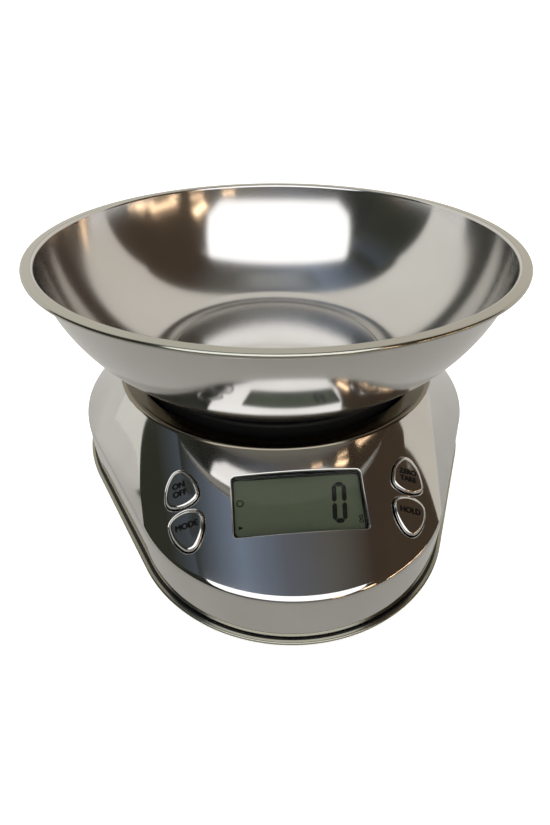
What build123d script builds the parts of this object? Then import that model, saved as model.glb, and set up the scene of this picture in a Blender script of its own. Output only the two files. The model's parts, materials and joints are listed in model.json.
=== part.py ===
from build123d import *
import os
from math import asin, atan2, cos, pi, radians, sin, sqrt, tan

# Kitchen scale with a lift-off bowl. All sizes are in millimetres.
# It faces -Y and stands on z = 0. The sizes below are measured from the weighing axis,
# and place() at the end moves the finished pieces so that the base is centred on the origin.

# Base in plan: a small front circle and a large rear circle joined by their outer tangents
front_radius = 70.5
front_centre = -65.8
rear_radius = 104.7
rear_centre = 11.1

# Drawn steel cover
cover_sheet = 0.7
edge_height = 25.9
edge_round = 3.5
ring_height = 51.0
ring_radius = 80.6
ring_width = 8.0
collar_depth = 3.0
lip_width = 2.3
lip_thickness = 1.4
lip_round = 0.6

# Upper housing, the moulded liner under the cover
skin_gap = 0.2
housing_wall = 2.0
boss_radius = 4.0

# Base tray
foot_height = 1.8
tray_floor = 2.5
tray_rib = 1.6
tray_rib_height = 4.0
tray_ring_radius = 44.0
tray_spokes = 8

# Rubber feet
foot_radius = 6.5
foot_sink = 1.0
foot_inset = 12.0
front_foot_angle = 40.0
rear_foot_angle = 68.0

# Spun bowl
bowl_rim_radius = 112.5
bowl_flange_width = 4.5
bowl_flange_drop = 1.8
bowl_depth = 58.7
bowl_seat_width = 2.5
bowl_corner_radius = 24.0
bowl_corner_angle = 28.0
bowl_sheet = 0.7
bowl_step_radius = 54.0
bowl_step_height = 1.0
bowl_step_slope = 1.5
bowl_lift = 3.7

# Weighing platform and the spider plate under it
platform_gap = 3.0
platform_plate = 2.5
platform_wall = 2.4
platform_round = 1.5
platform_skirt = 4.0
platform_rib = 1.6
platform_rib_height = 8.0
platform_ribs = 8
platform_boss_radius = 4.5
platform_boss_circle = 35.0
platform_bosses = 4
spider_plate = 3.0
spider_arm_width = 13.0
spider_hub_radius = 15.0

# Load cell, a bending beam along X with two bores joined by a slot
beam_length = 80.0
beam_size = 12.7
beam_pedestal = 7.7
beam_spacer = 3.0
beam_bore_radius = 5.0
beam_bore_pitch = 15.0
beam_slot = 4.0
beam_hole_edge = 7.0
beam_hole_pitch = 13.0
gauge_length = 24.0
gauge_coat = 1.2
stop_gap = 0.8
stop_post_radius = 5.0

# Display, square to the sloping front of the cover
display_drop = 22.9
window_width = 52.9
window_height = 25.0
window_round = 1.5
lens_recess = 0.5
lens_thickness = 1.5
frame_wall = 3.4
frame_ledge = 1.0
frame_overlap = 0.8
lcd_margin = 1.2
lcd_thickness = 2.8
strip_width = 2.6
strip_inset = 2.0

# Circuit board
board_depth = 20.0
board_thickness = 1.6
board_width = 104.0
board_up = 19.0
board_down = 15.0
board_boss_radius = 2.8
board_boss_across = 34.5
board_boss_up = 13.0
board_boss_down = 10.0
chip_radius = 7.0
chip_height = 2.0

# Buttons: a rounded pick shape, apex up in the upper pair and down in the lower pair,
# leaning outwards up the slope like the sides of the base
button_width = 14.5
button_height = 15.6
button_corner = 4.0
button_bulge = 0.8
button_lean = 10.0
button_proud = 1.8
button_edge = 1.4
button_collar = 1.2
button_collar_width = 0.8
button_collar_drop = 2.1
button_stem_radius = 2.0
button_travel = 0.7
upper_button_across = 47.2
upper_button_up = 10.7
lower_button_across = 44.2
lower_button_down = 7.9
switch_size = 6.0
switch_height = 3.5
plunger_radius = 1.7
plunger_show = 1.0
plunger_sink = 1.2

# Battery, its snap connector and the hinged door of its well
battery_length = 46.4
battery_depth = 26.5
battery_height = 17.5
battery_round = 2.0
stud_pitch = 12.7
stud_height = 2.1
small_stud_radius = 2.9
large_stud_radius = 3.9
snap_thickness = 4.5
snap_width = 25.0
snap_height = 14.0
battery_centre = 64.0
well_wall = 1.6
pin_radius = 0.75
pin_length = 2.0
notch_radius = 8.0
notch_depth = 1.3

# Screws
screw_radius = 1.5
screw_head_radius = 2.9
screw_head_height = 1.8
screw_length = 12.0
screw_inset = 10.0
rear_screw_angle = 40.0
bolt_radius = 2.0
bolt_head_radius = 3.5
bolt_head_height = 2.2
bolt_grip = 8.0
drive_slot = 0.8

# Wires
wire_radius = 0.8
wire_pitch = 2.2
cell_wire_radius = 1.3

# Clearances
slide_gap = 0.35
seat_gap = 0.25
thread_gap = 0.05
pin_gap = 0.08
door_gap = 0.35
head_gap = 0.3
through = 1.0

# Heights and radii that follow from the sizes above
tray_top = foot_height + tray_floor
hole_radius = ring_radius - ring_width
platform_radius = hole_radius - platform_gap
platform_top = ring_height + bowl_lift
beam_bottom = tray_top + beam_pedestal
beam_top = beam_bottom + beam_size
spider_bottom = beam_top + beam_spacer
spider_top = spider_bottom + spider_plate
housing_outer = cover_sheet + skin_gap
housing_inner = housing_outer + housing_wall
front_reach = front_radius - front_centre + lip_width
rear_reach = rear_radius + rear_centre + lip_width
axis_y = (front_reach - rear_reach) / 2

# Half angle of the taper, and the slopes of the cover at its front and sides
taper = asin((rear_radius - front_radius) / (rear_centre - front_centre))
rise = ring_height - edge_height
front_slope = atan2(rise, front_radius - front_centre - ring_radius)
side_slope = atan2(rise, rear_radius - ring_radius)
mean_slope = (front_slope + side_slope) / 2

# Plane of the sloping front, at the middle of the display: X to the right, Y up the slope
panel = Plane(
    origin=(
        0,
        -ring_radius - display_drop * cos(front_slope),
        ring_height - display_drop * sin(front_slope),
    ),
    x_dir=(1, 0, 0),
    z_dir=(0, -sin(front_slope), cos(front_slope)),
)

pieces = {}


def place(name, shape):
    # Keeps a finished piece under its name, moved so that the base is centred on the origin
    pieces[name] = Pos(0, axis_y, 0) * shape


def right_touch(radius, centre):
    # Where the right-hand tangent touches a circle of the plan
    return radius * cos(taper), centre - radius * sin(taper)


def plan_edges(inset, z):
    # The base outline at a height: front arc, right side, rear arc, left side
    front = front_radius - inset
    rear = rear_radius - inset
    fx, fy = right_touch(front, front_centre)
    rx, ry = right_touch(rear, rear_centre)
    front_arc = ThreePointArc((-fx, fy, z), (0, front_centre - front, z), (fx, fy, z)).edge()
    right_side = Line((fx, fy, z), (rx, ry, z)).edge()
    rear_arc = ThreePointArc((rx, ry, z), (0, rear_centre + rear, z), (-rx, ry, z)).edge()
    left_side = Line((-rx, ry, z), (-fx, fy, z)).edge()
    return front_arc, right_side, rear_arc, left_side


def plan_plate(inset, bottom, thickness):
    # A flat plate with the base outline
    outline = Face(Wire(list(plan_edges(inset, bottom))))
    return extrude(outline, amount=thickness, dir=(0, 0, 1))


def cover_form(inset, bottom):
    # The cover's form, drawn in by an inset: upright walls to the edge, then the smooth skin that is
    # stretched from that edge to the round ring. Two oblique cones and two flat triangles make it.
    edge = edge_height - inset * tan(pi / 4 - mean_slope / 2)
    top = ring_height - inset
    ring = ring_radius - inset * tan(mean_slope / 2)
    front_arc, right_side, rear_arc, left_side = plan_edges(inset, edge)
    tx, ty = right_touch(ring, 0)
    ring_front = ThreePointArc((-tx, ty, top), (0, -ring, top), (tx, ty, top)).edge()
    ring_rear = ThreePointArc((tx, ty, top), (0, ring, top), (-tx, ty, top)).edge()
    outline = Face(Wire([front_arc, right_side, rear_arc, left_side]))
    walls = extrude(outline, amount=edge - bottom, dir=(0, 0, -1)).faces().sort_by(Axis.Z)[:-1]
    skin = [
        Face.make_surface_from_curves(front_arc, ring_front),
        Face.make_surface_from_curves(rear_arc, ring_rear),
        Face(Wire([ring_front, ring_rear])),
    ]
    for side, turn in ((right_side, 1), (left_side, -1)):
        start = side @ 0
        end = side @ 1
        skin.append(Face(Wire(Polyline(start, end, (turn * tx, ty, top), close=True).edges())))
    solid = Solid(Shell(Face.sew_faces(walls + skin)[0]))
    rounding = max(edge_round - inset, lip_round)
    level = solid.edges().filter_by_position(Axis.Z, edge - thread_gap, edge + thread_gap)
    return solid.fillet(rounding, level)


def skin_depth(u, v):
    # How far the cover's front cone lies below the panel plane at a point of that plane
    slope_cos = cos(front_slope)
    slope_sin = sin(front_slope)
    start = (panel.origin.Z + v * slope_sin - edge_height) / rise
    gain = slope_cos / rise
    reach = panel.origin.Y + v * slope_cos - front_centre * (1 - start)
    reach_gain = front_centre * gain - slope_sin
    radius = front_radius + (ring_radius - front_radius) * start
    radius_gain = (ring_radius - front_radius) * gain
    a = reach_gain**2 - radius_gain**2
    b = reach * reach_gain - radius * radius_gain
    c = reach**2 + u**2 - radius**2
    return c / (b + sqrt(b**2 - a * c))


def on_panel(shape, lift):
    # A shape drawn on XY, set on the panel plane and lifted along its normal
    return panel * Pos(0, 0, lift) * shape


def panel_block(width, height, corner, low, high):
    # A rounded rectangular block square to the panel, between two depths
    outline = RectangleRounded(width, height, corner) if corner else Rectangle(width, height)
    return extrude(on_panel(outline, low), amount=high - low, dir=panel.z_dir)


def panel_rod(u, v, radius, low, high):
    # A rod square to the panel, between two depths
    return extrude(on_panel(Pos(u, v) * Circle(radius), low), amount=high - low, dir=panel.z_dir)


def rod(x, y, radius, low, high):
    # An upright rod between two heights
    return extrude(Pos(x, y, low) * Circle(radius), amount=high - low)


def screw(radius, length, head_radius, head_height):
    # A screw that points up, with its head's inner face at z = 0 and a pan head with a cross drive below
    rim = head_height / 2
    crown = head_radius - rim
    outline = Polyline(
        (0, -head_height), (crown, -head_height), (head_radius, -rim), (head_radius, 0),
        (radius, 0), (radius, length - radius), (0, length), close=True,
    )
    fastener = revolve(Plane.XZ * make_face(outline), Axis.Z)
    for turn in (0, 90):
        fastener -= Pos(0, 0, -head_height) * Rot(0, 0, turn) * Box(2 * crown, drive_slot, head_height)
    return fastener


def tube(points, radius, bend):
    # A wire along straight runs joined by arcs
    path = FilletPolyline(*points, radius=bend)
    section = Plane(origin=path @ 0, z_dir=path % 0) * Circle(radius)
    return sweep(section, path=path)


def screw_places():
    # Five screws round the base, set in from its outline
    fx, fy = right_touch(front_radius - screw_inset, front_centre)
    rx, ry = right_touch(rear_radius - screw_inset, rear_centre)
    side = ((fx + rx) / 2, (fy + ry) / 2)
    turn = radians(rear_screw_angle)
    reach = rear_radius - screw_inset
    rear = (reach * sin(turn), rear_centre + reach * cos(turn))
    front = (0, front_centre - front_radius + screw_inset)
    return [front, side, (-side[0], side[1]), rear, (-rear[0], rear[1])]


def foot_places():
    # Two feet under the front circle and two under the rear circle
    front_turn = radians(front_foot_angle)
    rear_turn = radians(rear_foot_angle)
    front = front_radius - foot_inset
    rear = rear_radius - foot_inset
    fx, fy = front * sin(front_turn), front_centre - front * cos(front_turn)
    rx, ry = rear * sin(rear_turn), rear_centre + rear * cos(rear_turn)
    return {
        "foot_front_left": (-fx, fy),
        "foot_front_right": (fx, fy),
        "foot_rear_left": (-rx, ry),
        "foot_rear_right": (rx, ry),
    }


# Bowl: one profile of even thickness, turned about the axis
bowl_wall_radius = bowl_rim_radius - bowl_flange_width
bowl_step_end = bowl_step_radius + bowl_step_slope
bowl_base_radius = bowl_step_end + bowl_seat_width
corner_turn = radians(bowl_corner_angle)
corner_end = (
    bowl_base_radius + bowl_corner_radius * sin(corner_turn),
    bowl_corner_radius * (1 - cos(corner_turn)),
)


def bowl():
    flange_low = bowl_depth - bowl_sheet
    hem = bowl_rim_radius - bowl_sheet
    line = [
        Line((0, bowl_step_height), (bowl_step_radius, bowl_step_height)),
        Line((bowl_step_radius, bowl_step_height), (bowl_step_end, 0)),
        Line((bowl_step_end, 0), (bowl_base_radius, 0)),
        CenterArc((bowl_base_radius, bowl_corner_radius), bowl_corner_radius, -90, bowl_corner_angle),
        TangentArc(
            corner_end, (bowl_wall_radius, flange_low), tangent=(cos(corner_turn), sin(corner_turn))
        ),
        Line((bowl_wall_radius, flange_low), (hem, flange_low)),
        Line((hem, flange_low), (hem, bowl_depth - bowl_flange_drop)),
    ]
    outer = Wire([piece.edge() for piece in line])
    sheet = make_face(offset(outer, bowl_sheet, side=Side.LEFT, closed=True).edges())
    return Pos(0, 0, platform_top) * revolve(Plane.XZ * sheet, Axis.Z)


# Steel cover: a thin drawn shell with a rolled lip, the ring opening, the window and the button holes
def steel_cover():
    outer = cover_form(0, foot_height)
    inner = cover_form(cover_sheet, foot_height - through)
    lip = plan_plate(-lip_width, foot_height, lip_thickness)
    lip = fillet(lip.edges().filter_by(Axis.Z, reverse=True), lip_round)
    shell = outer + lip - inner
    collar = rod(0, 0, hole_radius + cover_sheet, ring_height - collar_depth, ring_height - cover_sheet / 2)
    shell = shell + collar - rod(0, 0, hole_radius, 0, ring_height + through)
    shell -= panel_block(window_width, window_height, window_round, -board_depth, board_depth)
    for key in buttons:
        shell -= button_prism(key, slide_gap, -board_depth, board_depth)
    return shell


# Upper housing: a liner one skin inside the cover, with bosses down to the tray and the board
def upper_housing():
    liner = cover_form(housing_outer, tray_top)
    bosses = [rod(x, y, boss_radius, tray_top, ring_height) for x, y in screw_places()]
    bosses += [panel_rod(u, v, board_boss_radius, -board_depth, 0) for u, v in board_bosses]
    filled = cover_form(housing_outer + housing_wall / 2, tray_top)
    housing = liner - cover_form(housing_inner, tray_top - through)
    for boss in bosses:
        housing += boss & filled
    housing -= rod(0, 0, hole_radius + cover_sheet + seat_gap, 0, ring_height + through)
    opening = 2 * (frame_wall + seat_gap)
    housing -= panel_block(window_width + opening, window_height + opening, 0, -board_depth, board_depth)
    for key in buttons:
        housing -= button_prism(key, 2 * slide_gap, -board_depth, board_depth)
    for x, y in screw_places():
        housing -= rod(x, y, screw_radius + thread_gap, tray_top, tray_top + screw_length)
    for u, v in board_bosses:
        housing -= panel_rod(u, v, screw_radius + thread_gap, -board_depth, screw_length - board_depth)
    return housing


board_bosses = [
    (side * board_boss_across, up) for side in (-1, 1) for up in (board_boss_up, -board_boss_down)
]


# Display stack, from the window down to the board
lens_top = -skin_depth(window_width / 2, window_height / 2) - lens_recess
lens_low = min(lens_top, -skin_depth(window_width / 2, -window_height / 2) - lens_recess)
frame_top = lens_low - lens_thickness
lcd_top = frame_top - frame_ledge
lcd_low = lcd_top - lcd_thickness


def display_lens():
    width = window_width - 2 * seat_gap
    height = window_height - 2 * seat_gap
    return panel_block(width, height, window_round, frame_top, lens_low)


def display_frame():
    width = window_width + 2 * frame_wall
    height = window_height + 2 * frame_wall
    pocket = 2 * (lcd_margin + seat_gap)
    frame = panel_block(width, height, 0, -board_depth, frame_top)
    frame -= panel_block(window_width + pocket, window_height + pocket, 0, -board_depth, lcd_top)
    view = 2 * frame_overlap
    frame -= panel_block(window_width - view, window_height - view, window_round, lcd_top, frame_top)
    return frame


def lcd_glass():
    width = window_width + 2 * lcd_margin
    height = window_height + 2 * lcd_margin
    return panel_block(width, height, 0, lcd_low, lcd_top)


def contact_strip():
    # Rubber strip between the lower edge of the glass and the board
    strip = Pos(0, strip_inset - window_height / 2) * Rectangle(window_width, strip_width)
    return extrude(on_panel(strip, -board_depth), amount=lcd_low + board_depth, dir=panel.z_dir)


# Circuit board, trimmed to the housing it lies in
def main_board():
    outline = Pos(0, (board_up - board_down) / 2) * Rectangle(board_width, board_up + board_down)
    board = extrude(on_panel(outline, -board_depth), amount=-board_thickness, dir=panel.z_dir)
    board = board & cover_form(housing_inner + seat_gap, tray_top)
    for u, v in board_bosses:
        board -= panel_rod(u, v, screw_radius + seat_gap, -board_depth - through - board_thickness, 0)
    return board


def controller_chip():
    # Potted chip: a shallow dome under the board
    dome_radius = (chip_radius**2 + chip_height**2) / (2 * chip_height)
    cap = Pos(0, 0, dome_radius - chip_height) * Sphere(dome_radius)
    slab = Pos(0, 0, -chip_height / 2) * Cylinder(chip_radius, chip_height)
    return on_panel(cap & slab, -board_depth - board_thickness)


def board_screws():
    fastener = screw(screw_radius, screw_length - board_thickness, screw_head_radius, screw_head_height)
    seat = -board_depth - board_thickness
    return Compound([on_panel(Pos(u, v) * fastener, seat) for u, v in board_bosses])


# Buttons: each slides along the panel normal, in a hole that follows the skin where it stands
buttons = {
    "on_off": (-upper_button_across, upper_button_up, button_lean),
    "tare": (upper_button_across, upper_button_up, -button_lean),
    "mode": (-lower_button_across, -lower_button_down, 180 + button_lean),
    "hold": (lower_button_across, -lower_button_down, 180 - button_lean),
}
collar_low = -button_collar_drop - housing_inner - button_collar


def button_plane(key, lift):
    # Tangent plane of the skin at a button, lifted along the panel normal
    u, v, turn = buttons[key]
    step = thread_gap
    across = (skin_depth(u + step, v) - skin_depth(u - step, v)) / (2 * step)
    along = (skin_depth(u, v + step) - skin_depth(u, v - step)) / (2 * step)
    origin = panel.from_local_coords(Vector(u, v, lift - skin_depth(u, v)))
    x_dir = panel.x_dir - panel.z_dir * across
    normal = panel.x_dir * across + panel.y_dir * along + panel.z_dir
    return Plane(origin=origin, x_dir=x_dir, z_dir=normal) * Rot(0, 0, turn)


def button_outline(grow):
    # Pick shape with its apex along +Y: a triangle with bowed sides, grown by the corner radius
    half = button_width / 2 - button_corner
    low = button_corner - button_height / 2
    high = button_height / 2 - button_corner
    corners = [Vector(-half, low), Vector(half, low), Vector(0, high)]
    sides = []
    for start, end in zip(corners, corners[1:] + corners[:1]):
        run = (end - start).normalized()
        middle = (start + end) * 0.5 + Vector(run.Y, -run.X) * button_bulge
        sides.append(ThreePointArc(start, middle, end).edge())
    return offset(make_face(sides), button_corner + grow)


def button_prism(key, grow, low, high):
    # The button's outline swept along the panel normal between two distances from the skin
    outline = button_plane(key, low) * button_outline(grow)
    return extrude(outline, amount=high - low, dir=panel.z_dir)


def button(key):
    u, v, turn = buttons[key]
    cap = button_prism(key, 0, collar_low, button_proud)
    cap = fillet(cap.faces().sort_by(Axis((0, 0, 0), panel.z_dir))[-1].edges(), button_edge)
    cap += button_prism(key, button_collar_width, collar_low, collar_low + button_collar)
    stem_low = switch_height + plunger_show - board_depth
    return cap + panel_rod(u, v, button_stem_radius, stem_low, -skin_depth(u, v))


def switch_plunger(key):
    u, v, turn = buttons[key]
    face = switch_height - board_depth
    return panel_rod(u, v, plunger_radius, face - plunger_sink, face + plunger_show)


def key_switches():
    face = switch_height - board_depth
    bodies = []
    for u, v, turn in buttons.values():
        square = on_panel(Pos(u, v) * Rectangle(switch_size, switch_size), -board_depth)
        body = extrude(square, amount=switch_height, dir=panel.z_dir)
        well = face - plunger_sink - 2 * button_travel
        bodies.append(body - panel_rod(u, v, plunger_radius + slide_gap / 2, well, face))
    return Compound(bodies)


# Weighing platform: a deep dish with a raised seat, ribs and bosses underneath
boss_turns = [360 / platform_bosses * (k + 0.5) for k in range(platform_bosses)]


def weighing_platform():
    under = platform_top - platform_plate
    skirt = ring_height - platform_skirt
    seat = platform_top + bowl_step_height - seat_gap
    seat_radius = bowl_step_radius - seat_gap
    bore = platform_radius - platform_wall
    outline = Polyline(
        (0, seat), (seat_radius, seat), (seat_radius, platform_top), (platform_radius, platform_top),
        (platform_radius, skirt), (bore, skirt), (bore, under), (0, under), close=True,
    )
    dish = revolve(Plane.XZ * make_face(outline), Axis.Z)
    rim = dish.edges().filter_by(GeomType.CIRCLE).filter_by(
        lambda e: abs(e.radius - platform_radius) < thread_gap and e.center().Z > under
    )
    dish = fillet(rim, platform_round)
    for k in range(platform_ribs):
        rib = Pos(bore / 2, 0, under - platform_rib_height / 2) * Box(bore, platform_rib, platform_rib_height)
        dish += Rot(0, 0, 360 / platform_ribs * k) * rib
    for turn in boss_turns:
        boss = rod(platform_boss_circle, 0, platform_boss_radius, spider_top, under)
        boss -= rod(platform_boss_circle, 0, screw_radius + thread_gap, spider_top, spider_top + screw_length)
        dish += Rot(0, 0, turn) * boss
    return dish


def platform_spider():
    # Plate with an arm to each platform boss and a tongue over the free end of the beam
    reach = platform_boss_circle + platform_boss_radius
    plan = Circle(spider_hub_radius)
    for turn in boss_turns:
        arm = Pos(reach / 2, 0) * Rectangle(reach, spider_arm_width)
        plan += Rot(0, 0, turn) * arm
    plan += Pos(beam_length / 4, 0) * Rectangle(beam_length / 2, beam_size + 2 * through)
    plan = fillet(plan.vertices(), spider_plate)
    for turn in boss_turns:
        plan -= Rot(0, 0, turn) * Pos(platform_boss_circle, 0) * Circle(screw_radius + seat_gap)
    for x in beam_holes:
        plan -= Pos(x, 0) * Circle(bolt_radius + seat_gap)
    return extrude(Pos(0, 0, spider_bottom) * plan, amount=spider_plate)


def platform_screws():
    fastener = screw(screw_radius, screw_length - spider_plate, screw_head_radius, screw_head_height)
    seat = Pos(platform_boss_circle, 0, spider_bottom)
    return Compound([Rot(0, 0, turn) * seat * fastener for turn in boss_turns])


# Load cell: the fixed end is at -X on the pedestal, the free end at +X under the spider's tongue
beam_holes = [beam_length / 2 - beam_hole_edge - k * beam_hole_pitch for k in (0, 1)]


def load_cell():
    middle = beam_bottom + beam_size / 2
    beam = Pos(0, 0, middle) * Box(beam_length, beam_size, beam_size)
    cut = Rectangle(beam_bore_pitch, beam_slot)
    for side in (-1, 1):
        cut += Pos(side * beam_bore_pitch / 2, 0) * Circle(beam_bore_radius)
    beam -= extrude(Pos(0, 0, middle) * Plane.XZ * cut, amount=beam_size, both=True)
    for side in (-1, 1):
        for x in beam_holes:
            beam -= rod(side * x, 0, bolt_radius + thread_gap, beam_bottom, beam_top)
    return beam


def gauge_coating():
    # Soft coat over the strain gauges, above and below the two bores
    pads = []
    for low in (beam_top, beam_bottom - gauge_coat):
        pad = Pos(0, 0, low + gauge_coat / 2) * Box(gauge_length, beam_size, gauge_coat)
        pads.append(fillet(pad.edges().filter_by(Axis.Z), gauge_coat))
    return Compound(pads)


def load_cell_spacer():
    first = min(beam_holes) - beam_hole_edge
    length = beam_length / 2 - first
    plate = Pos(first + length / 2, 0, beam_top + beam_spacer / 2) * Box(length, beam_size, beam_spacer)
    for x in beam_holes:
        plate -= rod(x, 0, bolt_radius + seat_gap, beam_top, spider_bottom)
    return plate


def load_cell_top_screws():
    length = spider_plate + beam_spacer + bolt_grip
    bolt = Rot(180, 0, 0) * screw(bolt_radius, length, bolt_head_radius, bolt_head_height)
    return Compound([Pos(x, 0, spider_top) * bolt for x in beam_holes])


head_seat = foot_height + bolt_head_height + head_gap
screw_seat = foot_height + screw_head_height - head_gap


def load_cell_base_screws():
    length = beam_bottom - head_seat + bolt_grip
    bolt = screw(bolt_radius, length, bolt_head_radius, bolt_head_height)
    return Compound([Pos(-x, 0, head_seat) * bolt for x in beam_holes])


def overload_stop_screw():
    # Set screw under the free end, short of the beam by the gap it may bend through
    return rod(max(beam_holes), 0, bolt_radius, tray_top, beam_bottom - stop_gap)


# Battery well and door: the well is open below, and the door fills its mouth
well_length = battery_length + stud_height + snap_thickness + 2 * seat_gap
well_depth = battery_depth + 2 * seat_gap
well_front = battery_centre - well_depth / 2
well_rear = battery_centre + well_depth / 2
battery_bottom = tray_top + head_gap
well_top = battery_bottom + battery_height + seat_gap
battery_start = -well_length / 2 + seat_gap
hinge_y = well_front + door_gap + tray_floor / 2
hinge_z = foot_height + tray_floor / 2


def well_block(grow, low, high):
    size = Rectangle(well_length + 2 * grow, well_depth + 2 * grow)
    return extrude(Pos(0, battery_centre, low) * size, amount=high - low)


def lying_rod(y, z, radius, length):
    # A rod along X, centred on the middle plane
    return Pos(0, y, z) * Rot(0, 90, 0) * Cylinder(radius, length)


def base_tray():
    tray = plan_plate(cover_sheet + seat_gap, foot_height, tray_floor)
    rim = housing_inner + seat_gap
    ledge = plan_plate(rim, tray_top, tray_rib_height)
    ledge -= plan_plate(rim + tray_rib, tray_top, tray_rib_height)
    ring = rod(0, 0, tray_ring_radius, tray_top, tray_top + tray_rib_height)
    ring -= rod(0, 0, tray_ring_radius - tray_rib, tray_top, tray_top + tray_rib_height)
    tray = tray + ledge + ring
    for k in range(tray_spokes):
        length = tray_ring_radius - tray_rib / 2
        spoke = Pos(length / 2, 0, tray_top + tray_rib_height / 2) * Box(length, tray_rib, tray_rib_height)
        tray += Rot(0, 0, 360 / tray_spokes * (k + 0.5)) * spoke
    pedestal_end = -max(beam_holes) - beam_hole_edge
    pedestal_length = beam_hole_pitch + 2 * beam_hole_edge
    pedestal_width = beam_size + 2 * tray_rib
    pedestal_middle = Pos(pedestal_end + pedestal_length / 2, 0, tray_top)
    tray += extrude(pedestal_middle * Rectangle(pedestal_length, pedestal_width), amount=beam_pedestal)
    stop_top = beam_bottom - 2 * stop_gap
    tray += rod(max(beam_holes), 0, stop_post_radius, tray_top, stop_top)
    tray -= rod(max(beam_holes), 0, bolt_radius + thread_gap, tray_top, stop_top)
    tray += well_block(well_wall, tray_top, well_top + well_wall)
    tray -= well_block(0, foot_height, well_top)
    wire_gate = Pos(well_length / 2, battery_centre, battery_bottom + battery_height / 2)
    tray -= wire_gate * Box(4 * well_wall, 3 * wire_pitch, 2 * wire_pitch)
    tray -= lying_rod(hinge_y, hinge_z, pin_radius + pin_gap, well_length + 2 * (pin_length + seat_gap))
    notch = rod(0, well_rear, notch_radius, foot_height, foot_height + notch_depth)
    tray -= notch
    for x in beam_holes:
        tray -= rod(-x, 0, bolt_radius + seat_gap, foot_height, beam_bottom)
        tray -= rod(-x, 0, bolt_head_radius + seat_gap, foot_height, head_seat)
    for x, y in screw_places():
        tray -= rod(x, y, screw_radius + seat_gap, foot_height, tray_top)
        tray -= rod(x, y, screw_head_radius + seat_gap, foot_height, screw_seat)
    for x, y in foot_places().values():
        tray -= rod(x, y, foot_radius + seat_gap / 2, foot_height, foot_height + foot_sink)
    return tray


def battery_door():
    width = well_length - 2 * door_gap
    depth = well_rear - door_gap - hinge_y
    door = Pos(0, hinge_y + depth / 2, hinge_z) * Box(width, depth, tray_floor)
    door += lying_rod(hinge_y, hinge_z, tray_floor / 2, width)
    door += lying_rod(hinge_y, hinge_z, pin_radius, width + 2 * (door_gap + pin_length))
    return door - rod(0, well_rear, notch_radius, foot_height, foot_height + notch_depth)


def battery():
    x = battery_start + battery_length / 2
    z = battery_bottom + battery_height / 2
    block = Pos(x, battery_centre, z) * Box(battery_length, battery_depth, battery_height)
    block = fillet(block.edges().filter_by(Axis.X), battery_round)
    for y, radius in stud_places:
        block += battery_stud(y, radius, 0)
    return block


stud_places = [
    (battery_centre - stud_pitch / 2, small_stud_radius),
    (battery_centre + stud_pitch / 2, large_stud_radius),
]


def battery_stud(y, radius, gap):
    # A stud on the battery's end, or with a gap the socket that goes over it
    start = Plane(
        origin=(battery_start + battery_length, y, battery_bottom + battery_height / 2), z_dir=(1, 0, 0)
    )
    return extrude(start * Circle(radius + gap), amount=stud_height + gap)


def battery_snap():
    x = battery_start + battery_length + snap_thickness / 2
    z = battery_bottom + battery_height / 2
    snap = Pos(x, battery_centre, z) * Box(snap_thickness, snap_width, snap_height)
    snap = fillet(snap.edges().filter_by(Axis.X), battery_round)
    for y, radius in stud_places:
        snap -= battery_stud(y, radius, seat_gap)
    return snap


# Wires: from the snap round the right-hand side to the board, and from the beam to the board
def board_under(u, v, drop):
    # A point below the board's underside, along its normal
    return panel.from_local_coords(Vector(u, v, -board_depth - board_thickness - drop))


def battery_leads():
    start_x = battery_start + battery_length + snap_thickness
    z = battery_bottom + battery_height / 2
    floor = tray_top + 2 * wire_radius
    wires = []
    for k in (-0.5, 0.5):
        shift = k * wire_pitch
        lane = tray_ring_radius + 4 * wire_pitch + shift
        end_u = board_boss_across - 2 * board_boss_radius - shift
        points = [
            (start_x, battery_centre + shift, z),
            (lane, battery_centre + shift, z),
            (lane, battery_centre / 2, floor),
            (lane, -battery_centre / 2, floor),
            board_under(end_u, board_up - 2 * wire_pitch, 2 * wire_pitch + screw_length / 2),
            board_under(end_u, board_up - 2 * wire_pitch, 0),
        ]
        wires.append(tube(points, wire_radius, 2 * wire_pitch))
    return Compound(wires)


def load_cell_lead():
    z = beam_bottom + beam_size / 2
    end_v = board_up - 2 * wire_pitch
    points = [
        (0, -beam_size / 2, z),
        (0, -tray_ring_radius, z),
        board_under(0, end_v, screw_length / 2),
        board_under(0, end_v, 0),
    ]
    return tube(points, cell_wire_radius, 2 * wire_pitch)


def housing_screws():
    length = tray_top - screw_seat + screw_length - 2 * through
    fastener = screw(screw_radius, length, screw_head_radius, screw_head_height)
    return Compound([Pos(x, y, screw_seat) * fastener for x, y in screw_places()])


def foot():
    # Rubber foot with a drawn-in tread
    foot_top = foot_height + foot_sink
    outline = Polyline(
        (0, 0), (foot_radius - foot_sink, 0), (foot_radius, foot_sink), (foot_radius, foot_top),
        (0, foot_top), close=True,
    )
    return revolve(Plane.XZ * make_face(outline), Axis.Z)


place("bowl", bowl())
place("weighing_platform", weighing_platform())
place("platform_spider", platform_spider())
place("platform_screws", platform_screws())
place("load_cell", load_cell())
place("gauge_coating", gauge_coating())
place("load_cell_spacer", load_cell_spacer())
place("load_cell_top_screws", load_cell_top_screws())
place("load_cell_base_screws", load_cell_base_screws())
place("overload_stop_screw", overload_stop_screw())
place("steel_cover", steel_cover())
place("upper_housing", upper_housing())
place("display_lens", display_lens())
place("display_frame", display_frame())
place("lcd_glass", lcd_glass())
place("contact_strip", contact_strip())
place("main_board", main_board())
place("controller_chip", controller_chip())
place("board_screws", board_screws())
place("key_switches", key_switches())
for key in buttons:
    place(f"button_{key}", button(key))
    place(f"plunger_{key}", switch_plunger(key))
place("base_tray", base_tray())
place("battery_door", battery_door())
place("battery", battery())
place("battery_snap", battery_snap())
place("battery_leads", battery_leads())
place("load_cell_lead", load_cell_lead())
place("housing_screws", housing_screws())
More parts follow.
